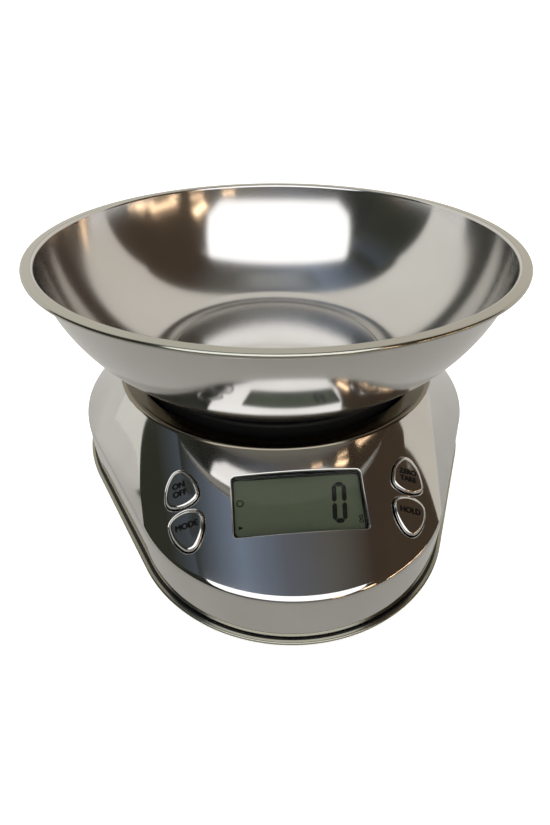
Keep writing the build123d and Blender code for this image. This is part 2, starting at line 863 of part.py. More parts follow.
for name, (x, y) in foot_places().items():
    place(name, Pos(x, y, 0) * foot())

os.makedirs("parts", exist_ok=True)
for name, shape in pieces.items():
    export_step(shape, f"parts/{name}.step")
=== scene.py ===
import json
import math

import bpy
import numpy as np
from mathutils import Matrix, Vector
from mathutils.geometry import delaunay_2d_cdt

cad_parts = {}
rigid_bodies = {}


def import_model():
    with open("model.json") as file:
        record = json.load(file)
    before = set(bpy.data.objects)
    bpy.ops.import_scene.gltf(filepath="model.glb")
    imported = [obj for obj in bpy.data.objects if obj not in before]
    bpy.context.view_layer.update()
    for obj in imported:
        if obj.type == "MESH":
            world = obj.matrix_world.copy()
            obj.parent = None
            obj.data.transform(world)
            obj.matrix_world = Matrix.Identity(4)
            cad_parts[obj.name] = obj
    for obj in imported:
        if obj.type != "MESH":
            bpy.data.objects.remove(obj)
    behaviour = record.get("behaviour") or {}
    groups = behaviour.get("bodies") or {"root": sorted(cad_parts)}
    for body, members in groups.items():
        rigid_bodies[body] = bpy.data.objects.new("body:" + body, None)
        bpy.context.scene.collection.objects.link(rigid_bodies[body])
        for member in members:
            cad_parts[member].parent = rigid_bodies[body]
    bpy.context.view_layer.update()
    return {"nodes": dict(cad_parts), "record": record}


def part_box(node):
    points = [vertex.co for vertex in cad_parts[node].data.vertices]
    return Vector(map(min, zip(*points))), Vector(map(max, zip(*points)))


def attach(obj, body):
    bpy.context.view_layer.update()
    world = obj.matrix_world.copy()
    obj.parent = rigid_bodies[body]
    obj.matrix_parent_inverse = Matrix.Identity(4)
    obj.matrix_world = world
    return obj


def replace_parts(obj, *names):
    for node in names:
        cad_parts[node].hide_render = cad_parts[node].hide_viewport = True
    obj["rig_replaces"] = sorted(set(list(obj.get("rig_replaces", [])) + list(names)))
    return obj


# Kitchen scale with a spun bowl. Shapes are worked out in millimetres and turned to metres in makePiece.
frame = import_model()
nodes = frame["nodes"]
mm = 0.001


def nodeBox(name):
    low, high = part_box(name)
    return np.array(low) / mm, np.array(high) / mm


bowlLow, bowlHigh = nodeBox("bowl")
footHeight = nodeBox("steel_cover")[0][2]
axisY = (bowlLow[1] + bowlHigh[1]) / 2      # the weighing axis stands behind the middle of the base
toFrame = np.array([0.0, axisY, 0.0])       # the cover and what sits in it are drawn about that axis
upward = np.array([0.0, 0.0, 1.0])
print("frame loaded, weighing axis at y =", round(axisY, 3), "mm")


# Mesh helpers

def circle(turn):
    return np.stack([np.cos(turn), np.sin(turn)], -1)


def tracePath(start, heading, moves, fine=5.0):
    # A line drawn by moves of (length, 0) straight on or (radius, degrees) round a bend, left is positive.
    # Gives the points and the heading at each, with a point every few degrees of bend.
    here = np.array(start, float)
    angle = math.radians(heading)
    points, headings = [here[None]], [np.array([angle])]
    for size, turn in moves:
        if turn == 0:
            here = here + size * circle(angle)
            points.append(here[None])
            headings.append(np.array([angle]))
            continue
        side = math.copysign(1, turn)
        steps = max(2, math.ceil(abs(turn) / fine))
        turns = angle + math.radians(turn) * np.linspace(0, 1, steps + 1)[1:]
        centre = here + side * size * np.array([-math.sin(angle), math.cos(angle)])
        arc = centre + side * size * np.stack([np.sin(turns), -np.cos(turns)], 1)
        points.append(arc)
        headings.append(turns)
        here, angle = arc[-1], turns[-1]
    return np.concatenate(points), np.concatenate(headings)


def gridQuads(rows, columns, closeRows=False, closeColumns=True):
    # Corner numbers of every cell of a rows by columns grid
    r = np.arange(rows if closeRows else rows - 1)[:, None]
    c = np.arange(columns if closeColumns else columns - 1)[None, :]
    thisRow, nextRow = r * columns, (r + 1) % rows * columns
    nextColumn = (c + 1) % columns
    cells = [thisRow + c, thisRow + nextColumn, nextRow + nextColumn, nextRow + c]
    return np.stack(cells, -1).reshape(-1, 4)


def weld(verts, quads, tris, normals, gap=2e-4):
    # Merges vertices that stand at one place, and turns quads that lost a corner into triangles
    key = np.round(verts / gap).astype(np.int64)
    _, first, inverse = np.unique(key, axis=0, return_index=True, return_inverse=True)
    inverse = inverse.reshape(-1)
    quads, tris = inverse[quads], inverse[tris]
    same = quads == np.roll(quads, -1, 1)
    lost = same.sum(1)
    order = (np.argmax(same, 1)[:, None] + np.array([1, 2, 3])) % 4
    narrow = np.take_along_axis(quads, order, 1)[lost == 1]
    tris = np.concatenate([tris, narrow])
    good = (tris[:, 0] != tris[:, 1]) & (tris[:, 1] != tris[:, 2]) & (tris[:, 2] != tris[:, 0])
    return verts[first], quads[lost == 0], tris[good], normals[first]


def linkedObject(name, data):
    piece = bpy.data.objects.new(name, data)
    bpy.context.scene.collection.objects.link(piece)
    return piece


def meshObject(name, verts, faces):
    mesh = bpy.data.meshes.new(name)
    mesh.from_pydata(np.array(verts).tolist(), [], faces)
    return linkedObject(name, mesh)


def makePiece(name, verts, quads, tris, normals=None, uv=None):
    # Puts arrays in millimetres into a smooth mesh; a negative volume means that its faces look inwards
    corners = (verts - verts.mean(0))[np.concatenate([quads[:, :3], quads[:, [0, 2, 3]], tris])]
    volume = np.sum(corners[:, 0] * np.cross(corners[:, 1], corners[:, 2])) / 6
    if volume < 0:
        quads, tris = quads[:, ::-1], tris[:, ::-1]
        uv = uv and (uv[0][:, ::-1], uv[1][:, ::-1])
    piece = meshObject(name, verts * mm, quads.tolist() + tris.tolist())
    mesh = piece.data
    mesh.shade_smooth()
    if uv is not None:
        layer = mesh.uv_layers.new(name="lay")
        flat = np.concatenate([uv[0].reshape(-1, 2), uv[1].reshape(-1, 2)])
        layer.data.foreach_set("uv", flat.astype(np.float32).ravel())
    if normals is not None:
        mesh.normals_split_custom_set_from_vertices(normals.tolist())
    return piece


def lathe(name, points, headings, count, centre):
    # A profile of (radius, height) points turned about an upright axis, its normal the heading turned right.
    # u of the map runs once round, v is the length along the profile in millimetres.
    ring = circle(np.linspace(0, 2 * math.pi, count, endpoint=False))
    outX, outZ = np.sin(headings), -np.cos(headings)
    verts = np.concatenate([points[:, None, :1] * ring, np.repeat(points[:, None, 1:], count, 1)], 2)
    normals = np.concatenate([outX[:, None, None] * ring, np.repeat(outZ[:, None, None], count, 1)], 2)
    along = np.concatenate([[0], np.cumsum(np.linalg.norm(np.diff(points, axis=0), axis=1))])
    verts[:, :, :2] += np.array(centre)
    quads = gridQuads(len(points), count)
    row, column = np.divmod(np.arange(len(quads)), count)
    u = np.stack([column, column + 1, column + 1, column], 1) / count
    v = np.stack([along[row], along[row], along[row + 1], along[row + 1]], 1)
    uv = np.stack([u, v], 2)
    # On the axis a ring is one vertex, and the cells beside it are triangles
    onAxis = points[:, 0] < 1e-6
    startPole, endPole = onAxis[row], onAxis[row + 1]
    whole = ~(startPole | endPole)
    tris = np.concatenate([quads[startPole][:, [0, 2, 3]], quads[endPole][:, :3]])
    triUv = np.concatenate([uv[startPole][:, [0, 2, 3]], uv[endPole][:, :3]])
    merged = np.arange(verts.shape[0] * count).reshape(-1, count)
    merged[onAxis] = merged[onAxis][:, :1]
    used, index = np.unique(merged, return_inverse=True)
    index = index.reshape(-1)
    return makePiece(
        name, verts.reshape(-1, 3)[used], index[quads[whole]], index[tris], normals.reshape(-1, 3)[used],
        (uv[whole], triUv),
    )


def closedSheet(path, headings, sheet, edgeSteps=8):
    # The section of a sheet of even thickness: the path, a round edge at its end, and the offset path back
    left = np.stack([-np.sin(headings), np.cos(headings)], 1)
    turn = np.linspace(0, math.pi, edgeSteps + 1)[1:-1]
    middle = path[-1] + left[-1] * sheet / 2
    away = -left[-1][None] * np.cos(turn)[:, None]
    ahead = circle(headings[-1:]) * np.sin(turn)[:, None]
    edge = middle + sheet / 2 * (away + ahead)
    back = (path + sheet * left)[::-1]
    points = np.concatenate([path, edge, back])
    return points, np.concatenate([headings, headings[-1] + turn, headings[::-1] + math.pi])


# Materials: one function adds a node, each finish is a short function. A pattern is (spacing in mm, detail).

def srgb(code):
    value = np.array([int(code[i:i + 2], 16) / 255 for i in (0, 2, 4)])
    linear = np.where(value <= 0.04045, value / 12.92, ((value + 0.055) / 1.055) ** 2.4)
    return (*linear.tolist(), 1.0)


def addNode(tree, kind, inputs=None, **settings):
    node = tree.nodes.new(kind)
    for key, value in settings.items():
        setattr(node, key, value)
    for socket, value in (inputs or {}).items():
        if isinstance(value, bpy.types.Node):
            value = value.outputs[0]
        if isinstance(value, bpy.types.NodeSocket):
            tree.links.new(value, node.inputs[socket])
        else:
            node.inputs[socket].default_value = value
    return node


def startMaterial(name, **sockets):
    material = bpy.data.materials.new(name)
    material.use_nodes = True
    shader = material.node_tree.nodes["Principled BSDF"]
    for socket, value in sockets.items():
        shader.inputs[socket.replace("_", " ")].default_value = value
    return material, material.node_tree, shader


def plug(tree, shader, **outputs):
    for socket, output in outputs.items():
        tree.links.new(output, shader.inputs[socket.replace("_", " ")])


def grainOf(tree, spacing, detail):
    # Inputs of a noise that has about one feature in this many millimetres of the object
    place = addNode(tree, "ShaderNodeTexCoord").outputs["Object"]
    return {"Vector": place, "Scale": 1 / (spacing * mm), "Detail": detail}


def mottle(tree, shader, grain, colours, gloss, rough, bump, height):
    # Two close colours and a slight relief follow one pattern, and the roughness follows another
    low, high = (srgb(code) for code in colours)
    tint = addNode(tree, "ShaderNodeMix", {0: grain, 6: low, 7: high}, data_type="RGBA")
    sheen = addNode(tree, "ShaderNodeMapRange", {"Value": gloss, "To Min": rough[0], "To Max": rough[1]})
    relief = addNode(tree, "ShaderNodeBump", {"Height": grain, "Strength": bump, "Distance": height * mm})
    plug(tree, shader, Base_Color=tint.outputs[2], Roughness=sheen.outputs[0], Normal=relief.outputs[0])


spunSteel = dict(
    colour="d8d7d5", dull="cccac8", cloud=(40.0, 2.0), groove=0.45, anisotropy=0.7, smearTurn=0.25,
    outside=(0.11, 0.14), inside=(0.13, 0.16), rimShadeColour="b6b5ab", rimMiddle=3.4, rimHalf=2.6,
)


def spunStainlessSteel(outsideLength):
    # Stainless steel spun on a former: fine rings follow the turning and smear reflections across
    # themselves, drawn coarser than real ones so that they show. The outside is buffed bright and the inside
    # keeps a soft sheen; the rim is painted a darker olive, a painted shade. v of the map is the length of
    # the
    # section: up the outside, over the rim and back down the inside.
    s = spunSteel
    material, tree, shader = startMaterial(
        "stainless steel, spun and buffed", Metallic=1.0, Anisotropic=s["anisotropy"],
        Anisotropic_Rotation=s["smearTurn"],
    )
    uv = addNode(tree, "ShaderNodeUVMap", uv_map="lay")
    length = addNode(tree, "ShaderNodeSeparateXYZ", {0: uv}).outputs[1]
    tangent = addNode(tree, "ShaderNodeTangent", direction_type="UV_MAP", uv_map="lay")
    lines = {"W": length, "Scale": 1 / s["groove"], "Detail": 3.0}
    rings = addNode(tree, "ShaderNodeTexNoise", lines, noise_dimensions="1D")
    cloud = addNode(tree, "ShaderNodeTexNoise", grainOf(tree, *s["cloud"]))
    isInside = addNode(tree, "ShaderNodeMath", {0: length, 1: outsideLength}, operation="GREATER_THAN")
    outside, inside = (
        addNode(tree, "ShaderNodeMapRange", {"Value": rings, "To Min": low, "To Max": high})
        for low, high in (s["outside"], s["inside"])
    )
    rough = addNode(tree, "ShaderNodeMix", {0: isInside, 2: outside, 3: inside})
    bright, dull, rimShadeTint = (srgb(s[key]) for key in ("colour", "dull", "rimShadeColour"))
    tint = addNode(tree, "ShaderNodeMix", {0: cloud, 6: bright, 7: dull}, data_type="RGBA").outputs[2]
    # Painted shade: a band over the rim takes a darker olive colour than the rest of the steel
    rim = {0: length, 1: outsideLength + s["rimMiddle"], 2: s["rimHalf"]}
    onShadedRim = addNode(tree, "ShaderNodeMath", rim, operation="COMPARE")
    colour = addNode(tree, "ShaderNodeMix", {0: onShadedRim, 6: tint, 7: rimShadeTint}, data_type="RGBA")
    plug(tree, shader, Base_Color=colour.outputs[2], Roughness=rough.outputs[0], Tangent=tangent.outputs[0])
    return material


drawnSteel = dict(
    colours=("d8d7d5", "cccac8"), roughness=(0.035, 0.075), wave=(22.0, 1.0), waveBump=0.12,
    waveHeight=0.25, hair=(9.0, 4.0), hairLength=14.0, hairRough=0.7,
)


def drawnStainlessSteel():
    # Stainless sheet drawn in a press and mirror polished: sharp reflections, slightly wavy, faint hairlines
    s = drawnSteel
    material, tree, shader = startMaterial("stainless steel, drawn and mirror polished", Metallic=1.0)
    wave = addNode(tree, "ShaderNodeTexNoise", grainOf(tree, *s["wave"])).outputs[0]
    hairs = grainOf(tree, *s["hair"]) | {"Roughness": s["hairRough"]}
    drawn = {"Vector": hairs["Vector"], "Scale": (1.0, s["hairLength"], s["hairLength"])}
    hairs["Vector"] = addNode(tree, "ShaderNodeMapping", drawn)
    hair = addNode(tree, "ShaderNodeTexNoise", hairs).outputs[0]
    mottle(tree, shader, wave, s["colours"], hair, s["roughness"], s["waveBump"], s["waveHeight"])
    return material


speckle = dict(grainDetail=3.0, patch=(25.0, 2.0), bumpHeight=0.1)


def speckledFinish(name, colour, fleck, grain, rough, bump, sockets):
    # A moulded, cast or coated surface: close colours in grains of a real size, uneven gloss, fine bump
    material, tree, shader = startMaterial(name, **sockets)
    grains, patches = (
        addNode(tree, "ShaderNodeTexNoise", grainOf(tree, *size)).outputs[0]
        for size in ((grain, speckle["grainDetail"]), speckle["patch"])
    )
    mottle(tree, shader, grains, (colour, fleck), patches, rough, bump, speckle["bumpHeight"])
    return material


acrylicSheet = dict(colour="f7faf7", index=1.2, haze=(6.0, 4.0), roughness=(0.0, 0.06))


def clearAcrylicSheet():
    # Cast acrylic: clear, glossy, with the faint haze of a wiped surface. Its index is set below that of
    # plain acrylic, so that the window mirrors less and the display stays dark.
    s = acrylicSheet
    material, tree, shader = startMaterial(
        "acrylic, cast and polished", IOR=s["index"], Transmission_Weight=1.0, Base_Color=srgb(s["colour"])
    )
    haze = addNode(tree, "ShaderNodeTexNoise", grainOf(tree, *s["haze"]))
    low, high = s["roughness"]
    rough = addNode(tree, "ShaderNodeMapRange", {"Value": haze, "To Min": low, "To Max": high})
    plug(tree, shader, Roughness=rough.outputs[0])
    return material


# Finish of each slot of the record, and of four small areas that have none: material, two colours, grain in
# mm, roughness range, bump, other sockets
metal = {"Metallic": 1.0}
flat, dim = {"Specular_IOR_Level": 0.1}, {"Specular_IOR_Level": 0.25}
finishes = dict(
    black_abs=("ABS, moulded black", "070708", "0c0c0d", 0.6, (0.5, 0.65), 0.25, dim),
    grey_abs=("ABS, moulded grey", "3a3c3e", "45474a", 0.6, (0.4, 0.6), 0.25, {}),
    lcd_cell=("glass, liquid crystal cell", "565d4c", "5b6251", 3.0, (0.5, 0.6), 0.02, flat),
    silicone_rubber=("silicone rubber, moulded", "35383b", "404347", 1.0, (0.6, 0.75), 0.2, {}),
    circuit_board=("glass epoxy, green lacquered", "1d5a2c", "246b36", 0.8, (0.25, 0.4), 0.1, {}),
    potting_epoxy=("epoxy, potted black", "111112", "19191a", 1.5, (0.15, 0.3), 0.1, {}),
    switch_plastic=("nylon, moulded black", "1a1a1b", "232325", 0.5, (0.4, 0.55), 0.2, {}),
    beam_aluminium=("aluminium, milled", "c4c6c8", "b2b5b8", 0.4, (0.25, 0.4), 0.3, metal),
    zinc_steel=("steel, zinc plated", "c3c4bf", "aeb0ac", 0.5, (0.2, 0.36), 0.2, metal),
    battery_case=("steel, printed battery case", "26282b", "2e3034", 0.5, (0.25, 0.35), 0.05, {}),
    wire_pvc=("PVC, extruded wire cover", "7a1d1a", "86231f", 1.0, (0.4, 0.5), 0.1, {}),
    satin_chrome=("ABS, satin chrome plated", "d4d3d1", "c9c8c6", 0.2, (0.06, 0.10), 0.02, metal),
    foot_rubber=("rubber, moulded black", "161616", "202021", 0.5, (0.7, 0.85), 0.35, {}),
    # The hem's olive and the ring's bronze, both darker than the cover steel, are painted shade; their
    # roughness is their duller finish.
    hem=("stainless steel, hemmed edge, darker as painted shade", "a3a294", "959486", 0.4, (0.15, 0.22), 0.05, metal),
    ring=("stainless steel, pressed ring, darker as painted shade", "8f897b", "827c70", 0.4, (0.12, 0.18), 0.03, metal),
    legend=("ink, pad printed black", "060505", "0a0909", 0.3, (0.6, 0.7), 0.05, flat),
    segment=("liquid crystal, dark segment", "0c0d0b", "111210", 1.0, (0.5, 0.6), 0.02, flat),
)
materials = {key: speckledFinish(*row) for key, row in finishes.items()}
materials["cover_steel"] = drawnStainlessSteel()
materials["clear_acrylic"] = clearAcrylicSheet()
print("finishes made:", len(materials))


def dress(piece, body, slot, replaced=(), finish=None):
    if not piece.data.materials:
        piece.data.materials.append(materials[finish or slot])
    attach(piece, body)
    if replaced:
        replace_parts(piece, *replaced)
    return piece


# Spun bowl: straight runs and bends of the sheet's lower side, turned about the weighing axis
bowlForm = dict(
    sheet=0.7, stepRadius=54.0, stepHeight=1.0, stepSlope=1.5, baseRadius=58.0, cornerRadius=24.0,
    cornerAngle=28.0, flangeWidth=4.5, flangeDrop=1.8, stepBend=1.2, rimBend=0.9, hemBend=0.35, columns=360,
)


def bowlPath():
    # From the middle out: raised floor, step down to the foot ring, corner, wall as one arc, rim and its hem
    f = bowlForm
    rimRadius = min(bowlHigh[0], -bowlLow[0])
    depth = bowlHigh[2] - bowlLow[2]
    fall = math.degrees(math.atan2(f["stepHeight"], f["stepSlope"]))
    slant = math.hypot(f["stepHeight"], f["stepSlope"])
    ease = f["stepBend"] * math.tan(math.radians(fall / 2))
    corner = math.radians(f["cornerAngle"])
    wallStart = np.array(
        [f["baseRadius"] + f["cornerRadius"] * math.sin(corner), f["cornerRadius"] * (1 - math.cos(corner))]
    )
    wallEnd = np.array([rimRadius - f["flangeWidth"], depth - f["sheet"]])
    chord = wallEnd - wallStart
    wallTurn = 2 * (math.atan2(chord[1], chord[0]) - corner)
    wallRadius = np.linalg.norm(chord) / (2 * math.sin(wallTurn / 2))
    rimTurn = corner + wallTurn
    rimEase = f["rimBend"] * math.tan(rimTurn / 2)
    cut = math.degrees(rimEase / wallRadius)
    hemReach = f["flangeWidth"] - f["sheet"] - f["hemBend"] - rimEase
    hemDrop = f["flangeDrop"] - f["sheet"] - f["hemBend"] - f["sheet"] / 2
    return tracePath(
        (0, bowlLow[2] + f["stepHeight"]), 0,
        [
            (f["stepRadius"] / 2, 0), (f["stepRadius"] / 2 - ease, 0),
            (f["stepBend"], -fall), (slant - 2 * ease, 0), (f["stepBend"], fall),
            (f["baseRadius"] - f["stepRadius"] - f["stepSlope"] - ease, 0),
            (f["cornerRadius"], f["cornerAngle"]), (wallRadius, math.degrees(wallTurn) - cut),
            (f["rimBend"], -math.degrees(rimTurn) + cut), (hemReach, 0),
            (f["hemBend"], -90), (hemDrop, 0),
        ],
        fine=4.0,
    )


def spunBowl():
    path, headings = bowlPath()
    section = closedSheet(path, headings, bowlForm["sheet"])
    halfEdge = math.pi * bowlForm["sheet"] / 4
    outsideLength = np.linalg.norm(np.diff(path, axis=0), axis=1).sum() + halfEdge
    materials["bowl_steel"] = spunStainlessSteel(outsideLength)
    return lathe("spunBowl", *section, bowlForm["columns"], (0, axisY))


bowl = dress(spunBowl(), "bowl", "bowl_steel", ["bowl"])
print("bowl turned:", len(bowl.data.polygons), "faces")

# Drawn cover. In plan two circles and their tangents; the skin joins each point of that edge to the point of
# the round ring with the same outward normal, so it is two oblique cones and two flat triangles.
coverForm = dict(
    frontRadius=70.5, frontCentre=-65.8, rearRadius=104.7, rearCentre=11.1, sheet=0.7, edgeHeight=25.9,
    edgeRound=3.5, ringHeight=51.0, ringRadius=80.6, holeRadius=72.6, collarDepth=3.0, ringRound=4.0,
    bead=0.3, holeRound=1.0, ringShadeMargin=1.0, lipWidth=2.26, lipThickness=1.4, lipBend=0.15, grooveWidth=0.7,
    grooveDepth=0.9, holeEdge=0.5, holeDrop=0.5,
)
coverLines = dict(front=143, rear=219, side=18, edgeBend=12, ringBend=16, skin=13, holeBend=7, clear=0.7)
panelForm = dict(
    displayDrop=22.9, windowWidth=52.9, windowHeight=25.0, windowRound=1.5, slideGap=0.35, cornerPoints=9,
    runPoints=(26, 14), stretch=(75.0, 61.0),
)
frontSlope = math.atan2(
    coverForm["ringHeight"] - coverForm["edgeHeight"],
    coverForm["frontRadius"] - coverForm["frontCentre"] - coverForm["ringRadius"],
)
slopeCos, slopeSin = math.cos(frontSlope), math.sin(frontSlope)
panelOrigin = np.array([
    0.0,
    -coverForm["ringRadius"] - panelForm["displayDrop"] * slopeCos,
    coverForm["ringHeight"] - panelForm["displayDrop"] * slopeSin,
])
panelAxes = np.array([[1.0, 0.0, 0.0], [0.0, slopeCos, slopeSin], [0.0, -slopeSin, slopeCos]])


def onPanel(u, v, lift):
    # Points of the panel: u to the right, v up the slope, lift along its normal
    return panelOrigin + np.stack(np.broadcast_arrays(u, v, lift), -1) @ panelAxes


def skinDepth(u, v):
    # How far the front cone lies below the panel plane, from the quadratic of the line along its normal
    f = coverForm
    rise = f["ringHeight"] - f["edgeHeight"]
    start = (panelOrigin[2] + v * slopeSin - f["edgeHeight"]) / rise
    gain = slopeCos / rise
    reach = panelOrigin[1] + v * slopeCos - f["frontCentre"] * (1 - start)
    reachGain = f["frontCentre"] * gain - slopeSin
    radius = f["frontRadius"] + (f["ringRadius"] - f["frontRadius"]) * start
    radiusGain = (f["ringRadius"] - f["frontRadius"]) * gain
    a = reachGain**2 - radiusGain**2
    b = reach * reachGain - radius * radiusGain
    c = reach**2 + u**2 - radius**2
    return c / (b + np.sqrt(b**2 - a * c))


def facing(theta):
    # Level outward direction; theta is 0 at the front and grows to the right
    return np.stack([np.sin(theta), -np.cos(theta), np.zeros_like(theta)], -1)


def edgePoint(theta, front):
    f = coverForm
    radius, centre = (f["frontRadius"], f["frontCentre"]) if front else (f["rearRadius"], f["rearCentre"])
    return radius * facing(theta) + np.array([0, centre, f["edgeHeight"]])


def coverPlan():
    # Directions and points of the edge once round: front arc, right tangent, rear arc, left tangent
    f = coverForm
    taper = math.asin((f["rearRadius"] - f["frontRadius"]) / (f["rearCentre"] - f["frontCentre"]))
    touch = math.pi / 2 - taper
    front = np.linspace(-touch, touch, coverLines["front"])
    rear = np.linspace(touch, 2 * math.pi - touch, coverLines["rear"])
    share = np.linspace(0, 1, coverLines["side"])[1:-1, None]
    onFront, onRear = (edgePoint(np.array([touch, -touch]), isFront) for isFront in (True, False))
    right = (1 - share) * onFront[0] + share * onRear[0]
    left = (1 - share) * onRear[1] + share * onFront[1]
    side = np.full(len(share), touch)
    theta = np.concatenate([front, side, rear, 2 * math.pi - side])
    return theta, np.concatenate([edgePoint(front, True), right, edgePoint(rear, False), left])


def unit(vectors):
    return vectors / np.linalg.norm(vectors, axis=-1, keepdims=True)


def rulings(theta, edge):
    # Ring point, direction, length and normal of the straight line from each edge point to the ring
    ring = coverForm["ringRadius"] * facing(theta) + np.array([0, 0, coverForm["ringHeight"]])
    run = ring - edge
    length = np.linalg.norm(run, axis=-1, keepdims=True)
    return ring, run / length, length, unit(np.cross(facing(theta + math.pi / 2), run))


def halfTurn(first, last):
    return np.arccos(np.clip(np.sum(first * last, -1, keepdims=True), -1, 1)) / 2


def roundedCorner(corner, back, ahead, radius, steps):
    # Arc that leaves along -back and arrives along ahead, a rational curve with the corner as control
    half = halfTurn(-back, ahead)
    reach = radius * np.tan(half)
    t = np.linspace(0, 1, steps + 1)[:, None, None]
    parts = (1 - t) ** 2, 2 * t * (1 - t) * np.cos(half), t**2
    bent = parts[0] * (corner + reach * back) + parts[1] * corner + parts[2] * (corner + reach * ahead)
    return bent / sum(parts), reach


def turningNormals(first, last, steps):
    # Normals that turn evenly from one direction to another
    angle = 2 * halfTurn(first, last)
    t = np.linspace(0, 1, steps + 1)[:, None, None]
    return (np.sin((1 - t) * angle) * first + np.sin(t * angle) * last) / np.sin(angle)


def carryRound(points, headings, base, out):
    # A section of (outwards, height) points carried round the plan, its normal the heading turned right
    turn = headings[:, None, None]
    rows = base + points[:, :1, None] * out + points[:, 1:, None] * upward
    return rows, np.sin(turn) * out - np.cos(turn) * upward


def lipSection():
    # Hem rolled at the foot of the wall, and the groove between hem and wall, as (outwards, height)
    f = coverForm
    roll, bend = f["lipThickness"] / 2, f["lipBend"]
    width, depth, flatWidth = f["grooveWidth"], f["grooveDepth"], f["lipWidth"] - roll
    hem, hemHeading = tracePath(
        (-f["sheet"], footHeight), 0,
        [(flatWidth + f["sheet"], 0), (roll, 180), (flatWidth - width - bend, 0), (bend, 45)], fine=15,
    )
    groove, grooveHeading = tracePath(
        hem[-1], 225,
        [(bend, 45), (depth - 2 * bend, 0), (bend, -90), (width - 2 * bend, 0), (bend, -90)], fine=15,
    )
    # Finish 1 is the hem's darker steel, painted shade; finish 2 is the groove's black, a painted shadow.
    finish = np.repeat([1, 2], [len(hem) - 1, len(groove) - 1])
    return np.concatenate([hem, groove[1:]]), np.concatenate([hemHeading, grooveHeading[1:]]), finish


def drawnCover():
    # A grid of rows carried once round the plan: hem and groove, wall, bend, straight skin, beaded bend,
    # flat ring and collar, and then the same rows from the wall on, set in by the thickness of the sheet
    f = coverForm
    theta, edge = coverPlan()
    out = facing(theta)
    ring, ahead, _, skinNormal = rulings(theta, edge)
    lip, lipHeading, lipFinish = lipSection()
    lipRows, lipNormals = carryRound(lip, lipHeading, edge * (1, 1, 0), out)
    edgeRows, edgeReach = roundedCorner(edge, -upward, ahead, f["edgeRound"], coverLines["edgeBend"])
    edgeNormals = turningNormals(out, skinNormal, coverLines["edgeBend"])
    ringRows, ringReach = roundedCorner(ring, -ahead, -out, f["ringRound"], coverLines["ringBend"])
    share = np.linspace(0, 1, coverLines["skin"])
    mixed = share[1:-1, None, None]
    skinRows = (1 - mixed) * (edge + edgeReach * ahead) + mixed * (ring - ringReach * ahead)
    # The bead rises as a sine squared over the bend, so that it draws a bright line round the platform
    ringNormals = turningNormals(skinNormal, upward, coverLines["ringBend"])
    rise = np.sin(np.linspace(0, math.pi, len(ringRows))) ** 2
    ringRows = ringRows + f["bead"] * rise[:, None, None] * ringNormals
    beaded = unit(np.cross(facing(theta + math.pi / 2), np.gradient(ringRows, axis=0)))
    ringNormals[1:-1] = beaded[1:-1]
    collar, collarHeading = tracePath(
        (0, 0), 180,
        [(f["ringRadius"] - f["holeRadius"] - f["holeRound"], 0), (f["holeRound"], 90),
         (f["collarDepth"] - f["holeRound"], 0)],
        fine=10,
    )
    collarRows, collarNormals = carryRound(collar[1:], collarHeading[1:], ring, out)
    outer = np.concatenate([lipRows, edgeRows, skinRows, ringRows, collarRows])
    outerNormals = np.concatenate(
        [lipNormals, edgeNormals, np.broadcast_to(skinNormal, skinRows.shape), ringNormals, collarNormals]
    )
    start = len(lipRows) - 1
    inner = (outer[start:] - f["sheet"] * outerNormals[start:])[::-1]
    verts = np.concatenate([outer, inner])
    normals = np.concatenate([outerNormals, -outerNormals[start:][::-1]])
    rows, columns = verts.shape[:2]
    quads = gridQuads(rows, columns, closeRows=True)

    # The front skin, outside and inside, gives way to a patch with the window and the button holes
    firstSkin = len(lipRows) + len(edgeRows) - 1
    cellRow, cellColumn = np.divmod(np.arange(len(quads)), columns)
    outerRow = np.where(cellRow < len(outer), cellRow, rows + start - 2 - cellRow)
    onSkin = (outerRow >= firstSkin) & (outerRow <= firstSkin + len(skinRows))
    quads = quads[~(onSkin & (cellColumn < coverLines["front"] - 1))]
    patchVerts, patchNormals, patchQuads, patchTris = frontPatch(theta[:coverLines["front"]], share)
    count = rows * columns
    verts, quads, tris, normals = weld(
        np.concatenate([verts.reshape(-1, 3), patchVerts]), np.concatenate([quads, patchQuads + count]),
        patchTris + count, np.concatenate([normals.reshape(-1, 3), patchNormals]),
    )
    piece = makePiece("drawnCover", verts + toFrame, quads, tris, normals)
    # The rolled hem and the ring are rougher than the skin, and their darker steel is painted shade; the
    # groove in the hem is painted black, a painted shadow.
    finish = np.zeros(len(piece.data.polygons), int)
    finish[:len(lipFinish) * columns] = np.repeat(lipFinish, columns)
    fromAxis = np.linalg.norm(verts[quads].mean(1)[:, :2], axis=1)
    # Painted shade: the ring and the bead around it take the darker steel
    finish[:len(quads)][fromAxis < f["ringRadius"] + f["ringShadeMargin"]] = 3
    for key in ("cover_steel", "hem", "potting_epoxy", "ring"):
        piece.data.materials.append(materials[key])
    piece.data.polygons.foreach_set("material_index", finish)
    return piece


buttonForm = dict(
    width=14.5, height=15.6, corner=4.0, bulge=0.8, proud=1.8, edge=1.4, crown=0.12, collar=1.2,
    collarWidth=0.8, collarLow=-6.2, stemRadius=2.0, stemLow=-14.85, sideSteps=26, cornerSteps=16,
    edgeSteps=9, topRings=8, sharp=40.0,
)
# Place of each button on the panel and the turn of its apex: to the right, up the slope, degrees
buttonSpots = dict(
    on_off=(-47.2, 10.7, 10.0), tare=(47.2, 10.7, -10.0), mode=(-44.2, -7.9, 190.0), hold=(44.2, -7.9, 170.0)
)


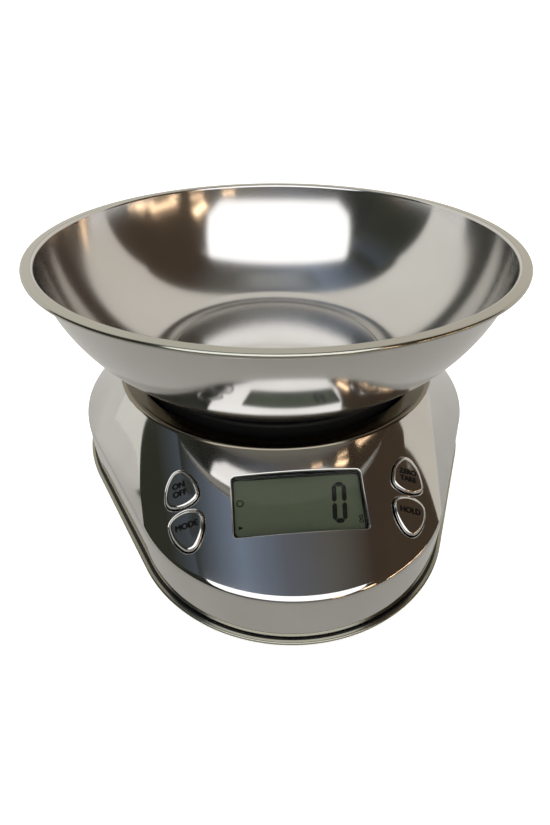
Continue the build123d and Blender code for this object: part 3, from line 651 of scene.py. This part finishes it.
def pickOutline(grow):
    # Outline with its apex up, three bowed sides and three round corners, grown evenly outwards. Each point
    # is a centre plus a radius along the outward direction, so growing only adds to the radius.
    b = buttonForm
    half = b["width"] / 2 - b["corner"]
    low, high = b["corner"] - b["height"] / 2, b["height"] / 2 - b["corner"]
    corners = np.array([(-half, low), (half, low), (0, high)])
    ends = np.roll(corners, -1, 0)
    run = ends - corners
    chord = np.linalg.norm(run, axis=1)
    outward = np.stack([run[:, 1], -run[:, 0]], 1) / chord[:, None]
    bow = (b["bulge"] ** 2 + (chord / 2) ** 2) / (2 * b["bulge"])
    centres = (corners + ends) / 2 - (bow - b["bulge"])[:, None] * outward
    middle = np.unwrap(np.arctan2(outward[:, 1], outward[:, 0]))
    spread = np.arcsin(chord / (2 * bow))
    first, last = middle - spread, middle + spread
    following = np.append(first[1:], first[0] + 2 * math.pi)
    points = []
    for k in range(3):
        for centre, radius, begin, end, steps in (
            (centres[k], bow[k] + b["corner"], first[k], last[k], b["sideSteps"]),
            (ends[k], b["corner"], last[k], following[k], b["cornerSteps"]),
        ):
            turn = np.linspace(begin, end, steps, endpoint=False)
            points.append(centre + (radius + grow) * circle(turn))
    return np.concatenate(points)


def onButton(key, flat, step=0.01):
    # Panel coordinates of points given on a button's own axes, in the skin's tangent plane at its middle
    u, v, turn = buttonSpots[key]
    slopeU = (skinDepth(u + step, v) - skinDepth(u - step, v)) / (2 * step)
    slopeV = (skinDepth(u, v + step) - skinDepth(u, v - step)) / (2 * step)
    across = unit(np.array([1.0, 0.0, -slopeU]))
    along = np.cross(unit(np.array([slopeU, slopeV, 1.0])), across)
    c, s = circle(math.radians(turn))
    right, up = c * across + s * along, c * along - s * across
    return np.array([u, v, -skinDepth(u, v)]) + flat[:, :1] * right + flat[:, 1:] * up


def windowOutline(grow):
    # Rectangle with round corners: four quarter turns joined by evenly spaced straight runs
    corner = panelForm["windowRound"] + grow
    inset = np.array([panelForm["windowWidth"], panelForm["windowHeight"]]) / 2 + grow - corner
    turn = np.linspace(0, math.pi / 2, panelForm["cornerPoints"])
    arcs = [
        inset * signs + corner * circle(turn + k * math.pi / 2)
        for k, signs in enumerate(((1, 1), (-1, 1), (-1, -1), (1, -1)))
    ]
    outline = []
    for k, arc in enumerate(arcs):
        run = np.linspace(0, 1, panelForm["runPoints"][k % 2])[1:-1, None]
        outline += [arc, arc[-1] + (arcs[(k + 1) % 4][0] - arc[-1]) * run]
    return np.concatenate(outline)


def holeLoops():
    # Outlines of the openings on the panel as (u, v), each at the outer side of its turned-in edge
    loops = [windowOutline(coverForm["holeEdge"])]
    flat = pickOutline(panelForm["slideGap"] + coverForm["holeEdge"])
    return loops + [onButton(key, flat)[:, :2] for key in buttonSpots]


def insideLoop(points, loop):
    # Even-odd test of many points against one closed outline
    x, y = points[:, :1], points[:, 1:]
    ax, ay = loop[:, 0], loop[:, 1]
    bx, by = np.roll(ax, -1), np.roll(ay, -1)
    crosses = (ay > y) != (by > y)
    with np.errstate(divide="ignore", invalid="ignore"):
        at = (bx - ax) * (y - ay) / (by - ay) + ax
    return (crosses & (x < at)).sum(1) % 2 == 1


def skinLimits(theta):
    # Ruling of the front cone at each angle, and where along it the lower bend ends and the upper one starts
    edge = edgePoint(theta, True)
    _, ahead, length, normal = rulings(theta, edge)
    first = coverForm["edgeRound"] * np.tan(halfTurn(upward, ahead))
    last = length - coverForm["ringRound"] * np.tan(halfTurn(ahead, -facing(theta)))
    return edge, ahead, first, last, normal


def skinPoint(theta, share):
    edge, ahead, first, last, normal = skinLimits(theta)
    return edge + (first + (last - first) * share[:, None]) * ahead, normal


def skinParameters(loop):
    # Angle and share of the ruling of outline points given on the panel
    f = coverForm
    point = onPanel(loop[:, 0], loop[:, 1], -skinDepth(loop[:, 0], loop[:, 1]))
    fraction = (point[:, 2] - f["edgeHeight"]) / (f["ringHeight"] - f["edgeHeight"])
    theta = np.arctan2(point[:, 0], f["frontCentre"] * (1 - fraction) - point[:, 1])
    edge, _, first, last, _ = skinLimits(theta)
    reach = np.linalg.norm(point - edge, axis=1, keepdims=True)
    return np.concatenate([theta[:, None], (reach - first) / (last - first)], 1)


def piercedSheet(loops, thetaLines, shareLines):
    # Triangles in (angle, share) between the border and the openings, with the skin's lines as inner points.
    # Both are stretched to about millimetres, so that the triangles come out even.
    stretch = np.array(panelForm["stretch"])
    t, s = np.meshgrid(thetaLines, shareLines, indexing="ij")
    spots = np.stack([t.ravel(), s.ravel()], 1)
    onBorder = ((t == thetaLines[0]) | (t == thetaLines[-1]) | (s == 0) | (s == 1)).ravel()
    outlines = np.concatenate(loops)
    gap = np.linalg.norm((spots[:, None] - outlines[None]) * stretch, axis=2).min(1)
    covered = np.any([insideLoop(spots, loop) for loop in loops], axis=0)
    spots = spots[onBorder | ((gap > coverLines["clear"]) & ~covered)]
    links, begin = [], 0
    for loop in loops:
        count = np.arange(len(loop))
        links.append(begin + np.stack([count, (count + 1) % len(loop)], 1))
        begin += len(loop)
    flat = [Vector(p) for p in np.concatenate([outlines, spots]) * stretch]
    found = delaunay_2d_cdt(flat, np.concatenate(links).tolist(), [], 0, 1e-9)
    made = np.array([tuple(p) for p in found[0]]) / stretch
    tris = np.array(found[2])
    middle = made[tris].mean(1)
    tris = tris[~np.any([insideLoop(middle, loop) for loop in loops], axis=0)]
    corners = made[tris]
    twist = np.cross(corners[:, 1] - corners[:, 0], corners[:, 2] - corners[:, 0])
    return made, np.where((twist > 0)[:, None], tris, tris[:, ::-1])


def turnedEdge(loop):
    # Band that bends an opening's edge inwards by a quarter turn, drops a little and goes back under
    f = coverForm
    on, out = skinPoint(loop[:, 0], loop[:, 1])
    inward = unit(np.cross(out, np.roll(on, -1, 0) - np.roll(on, 1, 0)))
    inward *= np.sign(np.sum(inward * (on.mean(0) - on), 1).mean())
    bend = np.linspace(0, math.pi / 2, coverLines["holeBend"])[:, None, None]
    turned = on + f["holeEdge"] * (np.sin(bend) * inward - (1 - np.cos(bend)) * out)
    drop = turned[-1] - f["holeDrop"] * out
    band = np.concatenate([turned, [drop, drop, on - f["sheet"] * out]])
    bandNormals = np.concatenate([np.sin(bend) * inward + np.cos(bend) * out, [inward, -out, -out]])
    cells = gridQuads(len(band), len(on))
    # The two rows at the drop share their place but not their normal, so no cell joins them
    return band.reshape(-1, 3), bandNormals.reshape(-1, 3), cells[cells[:, 0] // len(on) != len(turned)]


def frontPatch(thetaLines, shareLines):
    # The front cone between its two bends, outside and inside, with its openings and their turned-in edges
    loops = [skinParameters(loop) for loop in holeLoops()]
    made, tris = piercedSheet(loops, thetaLines, shareLines)
    skin, normal = skinPoint(made[:, 0], made[:, 1])
    verts, normals = [skin, skin - coverForm["sheet"] * normal], [normal, -normal]
    quads, begin = [], 2 * len(skin)
    for loop in loops:
        band, bandNormals, cells = turnedEdge(loop)
        verts.append(band)
        normals.append(bandNormals)
        quads.append(cells + begin)
        begin += len(band)
    bothSides = np.concatenate([tris, tris[:, ::-1] + len(skin)])
    return np.concatenate(verts), np.concatenate(normals), np.concatenate(quads), bothSides


cover = dress(drawnCover(), "base", "cover_steel", ["steel_cover"])
print("cover drawn:", len(cover.data.polygons), "faces")


# Buttons: rings of the pick outline from the stem up over the rounded edge to the middle of the cap
def crownHeight(share):
    # The crown falls from the middle, where the share of the way out is 0, to the edge of the flat top
    return buttonForm["proud"] + buttonForm["crown"] * (1 - share**2) ** 2


def buttonCap(key):
    b = buttonForm
    collarTop = b["collarLow"] + b["collar"]
    sides = [(b["collarWidth"], b["collarLow"]), (b["collarWidth"], collarTop), (0.0, collarTop)]
    for turn in np.linspace(0, math.pi / 2, b["edgeSteps"] + 1):
        sides.append((b["edge"] * (math.cos(turn) - 1), b["proud"] - b["edge"] * (1 - math.sin(turn))))
    rings = [(pickOutline(grow), lift) for grow, lift in sides]
    top = pickOutline(-b["edge"])
    middle = top.mean(0)
    for share in np.linspace(1, 0, b["topRings"] + 1)[1:]:
        rings.append((middle + share * (top - middle), crownHeight(share)))
    stem = b["stemRadius"] * unit(rings[0][0] - middle)
    stemEnd = b["stemLow"] + skinDepth(*buttonSpots[key][:2])
    rings = [(stem * 0.0, stemEnd), (stem, stemEnd), (stem, b["collarLow"])] + rings
    verts = np.concatenate([onPanel(*(onButton(key, plan) + lift * upward).T) for plan, lift in rings])
    verts, quads, tris, _ = weld(verts, gridQuads(len(rings), len(top)), np.zeros((0, 3), int), verts)
    piece = makePiece(f"buttonCap.{key}", verts + toFrame, quads, tris)
    piece.data.set_sharp_from_angle(angle=math.radians(b["sharp"]))
    return piece


# Words on the caps: text, letter size and shift of each in mm. Four near copies make the strokes bolder.
legendForm = dict(
    on_off=("ON\nOFF", 3.5, (-0.6, -0.9)), tare=("ZERO\nTARE", 3.2, (0.0, -1.2)),
    mode=("MODE", 3.4, (0.0, 2.2)), hold=("HOLD", 3.4, (0.0, 2.2)),
    proud=0.06, nudges=((-0.22, 0.0), (0.22, 0.0), (0.0, -0.132), (0.0, 0.132)),
)


def flatText(name, body, size):
    # Text turned to a flat mesh; gives its points in millimetres and its faces
    curve = bpy.data.curves.new(name, "FONT")
    curve.body = body
    curve.size = size
    curve.align_x, curve.align_y = "CENTER", "CENTER"
    curve.resolution_u = 6
    holder = linkedObject(name, curve)
    graph = bpy.context.evaluated_depsgraph_get()
    mesh = bpy.data.meshes.new_from_object(holder.evaluated_get(graph))
    points = np.zeros(len(mesh.vertices) * 3)
    mesh.vertices.foreach_get("co", points)
    faces = [list(face.vertices) for face in mesh.polygons]
    bpy.data.objects.remove(holder)
    bpy.data.curves.remove(curve)
    bpy.data.meshes.remove(mesh)
    return points.reshape(-1, 3)[:, :2], faces


def crownLift(flat):
    # Height of the cap's top over the skin at points of the cap
    top = pickOutline(-buttonForm["edge"])
    edge, spot = top - top.mean(0), flat - top.mean(0)
    angles = np.arctan2(edge[:, 1], edge[:, 0])
    order = np.argsort(angles)
    reach = np.interp(
        np.arctan2(spot[:, 1], spot[:, 0]), angles[order], np.linalg.norm(edge[order], axis=1),
        period=2 * math.pi,
    )
    return crownHeight(np.minimum(1, np.linalg.norm(spot, axis=1) / reach))


def buttonLegend(key):
    # Printed words laid on the cap's crown
    words, size, shift = legendForm[key]
    side = 1 if abs(buttonSpots[key][2]) < 90 else -1       # words stay upright where the apex is down
    text, letterFaces = flatText(f"legend.{key}", words, size)
    nudges = np.array(legendForm["nudges"])
    faces = [[k * len(text) + i for i in face] for k in range(len(nudges)) for face in letterFaces]
    flat = side * (np.concatenate([text + nudge for nudge in nudges]) + np.array(shift))
    spots = onButton(key, flat)
    spots[:, 2] += crownLift(flat) + legendForm["proud"]
    return meshObject(f"legend.{key}", (onPanel(*spots.T) + toFrame) * mm, faces)


for key in buttonSpots:
    dress(buttonCap(key), f"key_{key}", "satin_chrome", [f"button_{key}"])
    dress(buttonLegend(key), f"key_{key}", "satin_chrome", finish="legend")
print("buttons pressed in:", len(buttonSpots))

# Marks of the liquid crystal cell, in mm on its face: a nought, a ring for zero, an arrow and a unit
lcdForm = dict(
    digitAt=(16.6, 0.0), digitWidth=6.0, digitHeight=17.2, bar=1.9, gap=0.12, slant=0.10, lift=0.02,
    unitAt=(24.3, -6.6), unitSize=4.8, zeroAt=(-23.4, 2.0), zeroRadius=1.5, zeroBar=0.45, zeroSteps=32,
    arrowAt=(-23.4, -8.0), arrow=((-1.0, -0.8), (0.9, 0.0), (-1.0, 0.8)),
)


def pointedBar(length):
    # A bar along x with pointed ends
    half, point = length / 2, lcdForm["bar"] / 2
    low, high = -half + point, half - point
    return np.array([(-half, 0), (low, -point), (high, -point), (half, 0), (high, point), (low, point)])


def noughtBars():
    # The six outer bars of a seven-bar digit, leaning to the right
    f = lcdForm
    width, height = f["digitWidth"] - f["bar"], f["digitHeight"] - f["bar"]
    upright = pointedBar(height / 2 - 2 * f["gap"]) @ np.array([[0.0, 1.0], [-1.0, 0.0]])
    level = pointedBar(width - 2 * f["gap"])
    bars = [upright + (x, y) for x in (-width / 2, width / 2) for y in (-height / 4, height / 4)]
    bars += [level + (0, y) for y in (-height / 2, height / 2)]
    lean = np.array([[1.0, 0.0], [f["slant"], 1.0]])
    return [bar @ lean + f["digitAt"] for bar in bars]


def lcdMarks():
    f = lcdForm
    flats = noughtBars() + [np.array(f["arrow"]) + f["arrowAt"]]
    marks = [(flat, [list(range(len(flat)))]) for flat in flats]
    ring = circle(np.linspace(0, 2 * math.pi, f["zeroSteps"], endpoint=False))
    zero = np.concatenate([f["zeroRadius"] * ring, (f["zeroRadius"] - f["zeroBar"]) * ring])
    marks.append((zero + f["zeroAt"], gridQuads(2, f["zeroSteps"]).tolist()))
    letter, letterFaces = flatText("unit", "g", f["unitSize"])
    marks.append((letter + f["unitAt"], letterFaces))
    starts = np.cumsum([0] + [len(points) for points, _ in marks]).tolist()
    faces = [[start + k for k in face] for start, (_, part) in zip(starts, marks) for face in part]
    flat = np.concatenate([points for points, _ in marks])
    glass = np.array([v.co for v in nodes["lcd_glass"].data.vertices]) / mm - toFrame - panelOrigin
    lift = (glass @ panelAxes.T)[:, 2].max() + f["lift"]
    return meshObject("lcdMarks", (onPanel(flat[:, 0], flat[:, 1], lift) + toFrame) * mm, faces)


dress(lcdMarks(), "base", "lcd_cell", finish="segment")
print("display marked")

# Weighing platform: the black dish under the bowl, turned about the weighing axis
platformForm = dict(
    plate=2.5, wall=2.4, edge=1.5, seatBend=0.4, seatGap=0.25, skirtDrop=4.0, skirtBend=0.4, columns=240
)


def weighingPlatform():
    # From the middle of the underside: plate, down inside the skirt, round its foot, up, over the top edge
    # and across to the raised seat that fits into the step of the bowl
    f = platformForm
    low, high = nodeBox("weighing_platform")
    radius = (high[0] - low[0]) / 2
    skirt = coverForm["ringHeight"] - f["skirtDrop"]
    top = bowlLow[2]
    seat = bowlForm["stepRadius"] - f["seatGap"]
    under = top - f["plate"]
    bend, foot = f["seatBend"], f["skirtBend"]
    path, headings = tracePath(
        (0, under), 0,
        [(radius - f["wall"] - bend, 0), (bend, -90), (under - skirt - bend - foot, 0), (foot, 90),
         (f["wall"] - 2 * foot, 0), (foot, 90), (top - skirt - foot - f["edge"], 0), (f["edge"], 90),
         (radius - f["edge"] - seat - bend, 0), (bend, -90), (high[2] - top - 2 * bend, 0), (bend, 90),
         (seat - bend, 0)],
        fine=10,
    )
    return lathe("weighingDish", path, headings, f["columns"], (0, axisY))


dress(weighingPlatform(), "platform", "black_abs", ["weighing_platform"])

# Rubber feet: a turned pad with a rounded tread and a shallow ring in it
footForm = dict(
    bend=0.8, topBend=0.2, grooveRadius=3.4, grooveDepth=0.35, grooveWidth=0.8, grooveTurn=60, columns=72
)


def rubberFoot(name):
    # The ring is a wave of three bends, flattened to its depth, and the pad's edge follows on from it
    f = footForm
    low, high = nodeBox(name)
    radius = (high[0] - low[0]) / 2
    half, turn, top = f["grooveWidth"] / 2, f["grooveTurn"], f["topBend"]
    path, headings = tracePath(
        (0, low[2]), 0, [(f["grooveRadius"] - half, 0), (half, turn), (half, -2 * turn), (half, turn)],
        fine=15,
    )
    path[:, 1] = low[2] + (path[:, 1] - low[2]) * f["grooveDepth"] / np.ptp(path[:, 1])
    outer, outerHeadings = tracePath(
        path[-1], 0,
        [(radius - f["bend"] - path[-1][0], 0), (f["bend"], 90), (high[2] - low[2] - f["bend"] - top, 0),
         (top, 90), (radius - top, 0)],
        fine=15,
    )
    return lathe(
        name.replace("foot", "rubberFoot"), np.concatenate([path, outer[1:]]),
        np.concatenate([headings, outerHeadings[1:]]), f["columns"], (low[:2] + high[:2]) / 2,
    )


for name in [n for n in nodes if n.startswith("foot_")]:
    dress(rubberFoot(name), "base", "foot_rubber", [name])
print("platform and feet turned")

# Every CAD node that still shows takes the finish of its own slot
replaced = {n for piece in bpy.data.objects for n in piece.get("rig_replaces", [])}
slotOfNode = {part["node"]: part["material_slot"] for part in frame["record"]["subparts"]}
for name, node in nodes.items():
    if name not in replaced:
        node.data.materials.clear()
        node.data.materials.append(materials[slotOfNode[name]])
print("carried-over nodes finished:", len(nodes) - len(replaced))


# Studio: a pale table in a bright tent. The tent is open in front, where one large soft light shows in a dim
# room with a few warm lamps. The room is seen only in reflections, so it throws no shadow, and a white cloth
# all round is seen only by the camera. The table is two sheets: a white one that the camera sees, swept up
# behind, and a grey one that reflections see. In metres and degrees; a screen is (first azimuth, last
# azimuth, radius, top), a lamp (azimuth, elevation, half width, half height, roll), and colours stand at
# metres along one axis.
studioForm = dict(
    tableHalf=14.0, sweepStart=3.0, sweepRadius=1.5, sweepTop=4.0, tableColour="f6f6f5", tableGlow=0.5,
    tableRough=0.8, sheenRough=0.9, sheenDrop=0.0005,
    # The grey sheet's colours, darker towards the front, are painted shade.
    sheenShadeColours=[(-1.0, "605e58"), (-0.3, "807f77"), (-0.08, "9f9f9e"), (0.3, "c3c3c3")],
    surround=(-180.0, 180.0, 13.0, 30.0), room=(-100.0, 100.0, 12.0, 14.0), flag=(-104.0, -66.0, 0.85, 1.05),
    roomColours=[(-9.0, "2c2e29"), (-3.0, "70727a"), (3.0, "7d776d"), (8.5, "4a3d30")],
    flagColours=[(0.0, "36382f"), (0.6, "36382f"), (1.05, "525961")],
    ceilingHeight=14.0, ceilingLow=(-18.0, -6.0), ceilingHigh=(18.0, 3.9),
    ceilingColours=[
        (-11.0, "34362f"), (-7.5, "5e6670"), (-4.0, "808da0"), (0.0, "666a73"), (4.0, "65635e"),
        (8.5, "463b31"), (12.0, "4a3d30"),
    ],
    glowHeight=13.9, glowLow=(-3.6, -1.7), glowHigh=(3.6, 2.2),
    glowColours=[(-3.6, "6a7076"), (-1.5, "9a9fa3"), (1.5, "9a9a98"), (3.6, "68665f")],
    softLightAt=(-7.0, 30.0, 10.0), softLightHalf=(8.4, 6.0), softLightShift=3.6, softLight=1.8,
    lampAway=9.5, lampStrength=5.0, lampColour="ffd9b0",
    lamps=[
        (41.5, 18.0, 0.85, 0.36, 35), (62.5, 9.5, 1.4, 0.22, 3), (73.5, 6.0, 0.95, 0.15, 0),
        (79.0, 4.0, 0.85, 0.1, 0), (55.0, 5.0, 0.5, 0.12, 0), (41.5, 8.5, 0.6, 0.14, 0),
        (22.5, 9.0, 0.6, 0.17, 0),
    ],
    tentLeft="efede6", tentRight="dcd5ca",
)


def stageColours(tree, stops, axis):
    # Colours at stops of (metres, colour) along x, y or z of the stage, blended between them
    first, last = stops[0][0], stops[-1][0]
    place = addNode(tree, "ShaderNodeTexCoord").outputs["Object"]
    spot = addNode(tree, "ShaderNodeSeparateXYZ", {0: place}).outputs[axis]
    along = addNode(tree, "ShaderNodeMapRange", {"Value": spot, "From Min": first, "From Max": last})
    ramp = addNode(tree, "ShaderNodeValToRGB", {0: along})
    ramp.color_ramp.elements[0].color = srgb(stops[0][1])
    ramp.color_ramp.elements[1].color = srgb(stops[-1][1])
    for stop, colour in stops[1:-1]:
        ramp.color_ramp.elements.new((stop - first) / (last - first)).color = srgb(colour)
    return ramp.outputs[0]


def glowMaterial(name, stops, strength=1.0, axis=0):
    # Plain light, of one colour or of several blended across the stage
    material = bpy.data.materials.new(name)
    material.use_nodes = True
    tree = material.node_tree
    tree.nodes.clear()
    colour = srgb(stops) if isinstance(stops, str) else stageColours(tree, stops, axis)
    glow = addNode(tree, "ShaderNodeEmission", {"Color": colour, "Strength": strength})
    addNode(tree, "ShaderNodeOutputMaterial", {"Surface": glow})
    return material


def stagePiece(name, verts, material, faces=((0, 1, 2, 3),), camera=False, glossy=True, diffuse=False):
    piece = meshObject(name, verts, faces)
    piece.data.materials.append(material)
    piece.visible_camera, piece.visible_glossy, piece.visible_diffuse = camera, glossy, diffuse
    piece.visible_shadow = False


def level(name, low, high, height, material):
    corners = [(low[0], low[1]), (high[0], low[1]), (high[0], high[1]), (low[0], high[1])]
    stagePiece(name, [(x, y, height) for x, y in corners], material)


def card(name, azimuth, elevation, away, halfWidth, halfHeight, material, roll=0.0, shift=0.0, **seen):
    # Flat card square to a line of sight, shifted up its plane; azimuth is 0 in front, right is positive
    a, e, r = (math.radians(x) for x in (azimuth, elevation, roll))
    out = np.array([math.sin(a) * math.cos(e), -math.cos(a) * math.cos(e), math.sin(e)])
    across = np.array([math.cos(a), math.sin(a), 0.0])
    rise = np.cross(out, across)
    right = halfWidth * (math.cos(r) * across + math.sin(r) * rise)
    top = halfHeight * (math.cos(r) * rise - math.sin(r) * across)
    middle = out * away + shift * rise
    corners = [middle - right - top, middle + right - top, middle + right + top, middle - right + top]
    stagePiece(name, corners, material, **seen)


def screen(name, left, right, radius, top, material, panes=48, **seen):
    # Curved wall round the object between two azimuths
    foot = radius * facing(np.radians(np.linspace(left, right, panes + 1)))
    quads = gridQuads(2, len(foot), closeColumns=False).tolist()
    stagePiece(name, np.concatenate([foot, foot + top * upward]), material, quads, **seen)


def layTable():
    # White sheet that bends up behind the object into a wall, and the grey one just under it, whose grey,
    # darker towards the front, is painted shade
    s = studioForm
    half = s["tableHalf"]
    path, _ = tracePath(
        (-half, 0), 0,
        [(half + s["sweepStart"], 0), (s["sweepRadius"], 90), (s["sweepTop"] - s["sweepRadius"], 0)],
    )
    white, _, _ = startMaterial(
        "table, white matt laminate", Roughness=s["tableRough"], Base_Color=srgb(s["tableColour"]),
        Emission_Color=srgb("ffffff"), Emission_Strength=s["tableGlow"],
    )
    verts = [(x, y, z) for y, z in path for x in (-half, half)]
    quads = gridQuads(len(path), 2, closeColumns=False).tolist()
    stagePiece("tableTop", verts, white, quads, camera=True, glossy=False, diffuse=True)
    # Painted shade: the table as reflections see it is grey, darker towards the front
    grey, greyTree, greyShader = startMaterial("table, grey as painted shade for reflections", Roughness=s["sheenRough"])
    plug(greyTree, greyShader, Base_Color=stageColours(greyTree, s["sheenShadeColours"], 1))
    level("tableSheen", (-half, -half), (half, half), -s["sheenDrop"], grey)


def hangRoom():
    s = studioForm
    screen("whiteSurround", *s["surround"], glowMaterial("white cloth", "ffffff"), camera=True, glossy=False)
    screen("roomScreen", *s["room"], glowMaterial("dim room", s["roomColours"]))
    screen("leftFlag", *s["flag"], glowMaterial("black flag", s["flagColours"], axis=2))
    ceiling = glowMaterial("room ceiling", s["ceilingColours"])
    level("roomCeiling", s["ceilingLow"], s["ceilingHigh"], s["ceilingHeight"], ceiling)
    glow = glowMaterial("ceiling glow", s["glowColours"])
    level("ceilingGlow", s["glowLow"], s["glowHigh"], s["glowHeight"], glow)
    softLight = glowMaterial("soft light", "ffffff", s["softLight"])
    soft = s["softLightAt"] + s["softLightHalf"]
    card("softLight", *soft, softLight, shift=s["softLightShift"], diffuse=True)
    lamp = glowMaterial("room lamp", s["lampColour"], s["lampStrength"])
    for k, (azimuth, elevation, wide, high, roll) in enumerate(s["lamps"]):
        card(f"roomLamp.{k}", azimuth, elevation, s["lampAway"], wide, high, lamp, roll)


def pitchTent():
    # A warm white all round, paler to the left than to the right
    world = bpy.data.worlds.new("tent")
    bpy.context.scene.world = world
    world.use_nodes = True
    tree = world.node_tree
    place = addNode(tree, "ShaderNodeTexCoord").outputs["Generated"]
    across = addNode(tree, "ShaderNodeSeparateXYZ", {0: place})
    side = addNode(tree, "ShaderNodeMapRange", {"Value": across, "From Min": -1.0, "From Max": 1.0})
    left, right = srgb(studioForm["tentLeft"]), srgb(studioForm["tentRight"])
    tint = addNode(tree, "ShaderNodeMix", {0: side, 6: left, 7: right}, data_type="RGBA")
    plug(tree, tree.nodes["Background"], Color=tint.outputs[2])


# Camera as the photograph has it: a close, slightly left-hand view from above
cameraForm = dict(
    focalPixels=520.0, imageLong=825, sensor=36.0, pitch=35.73, yaw=5.19, distance=246.72, height=189.02,
    aside=-0.48, clipStart=10.0,
)


def placeCamera():
    f = cameraForm
    data = bpy.data.cameras.new("camera")
    data.sensor_width = f["sensor"]
    data.lens = f["focalPixels"] / f["imageLong"] * f["sensor"]
    data.clip_start = f["clipStart"] * mm
    pitch, yaw = math.radians(f["pitch"]), math.radians(f["yaw"])
    camera = linkedObject("camera", data)
    camera.location = Vector((
        f["aside"] - f["distance"] * math.sin(yaw), axisY - f["distance"] * math.cos(yaw), f["height"]
    )) * mm
    ahead = Vector((
        math.cos(pitch) * math.sin(yaw), math.cos(pitch) * math.cos(yaw), -math.sin(pitch)
    ))
    camera.rotation_euler = ahead.to_track_quat("-Z", "Y").to_euler()
    bpy.context.scene.camera = camera


layTable()
hangRoom()
pitchTent()
placeCamera()
bpy.context.scene.view_settings.view_transform = "Standard"
print("studio and camera set")
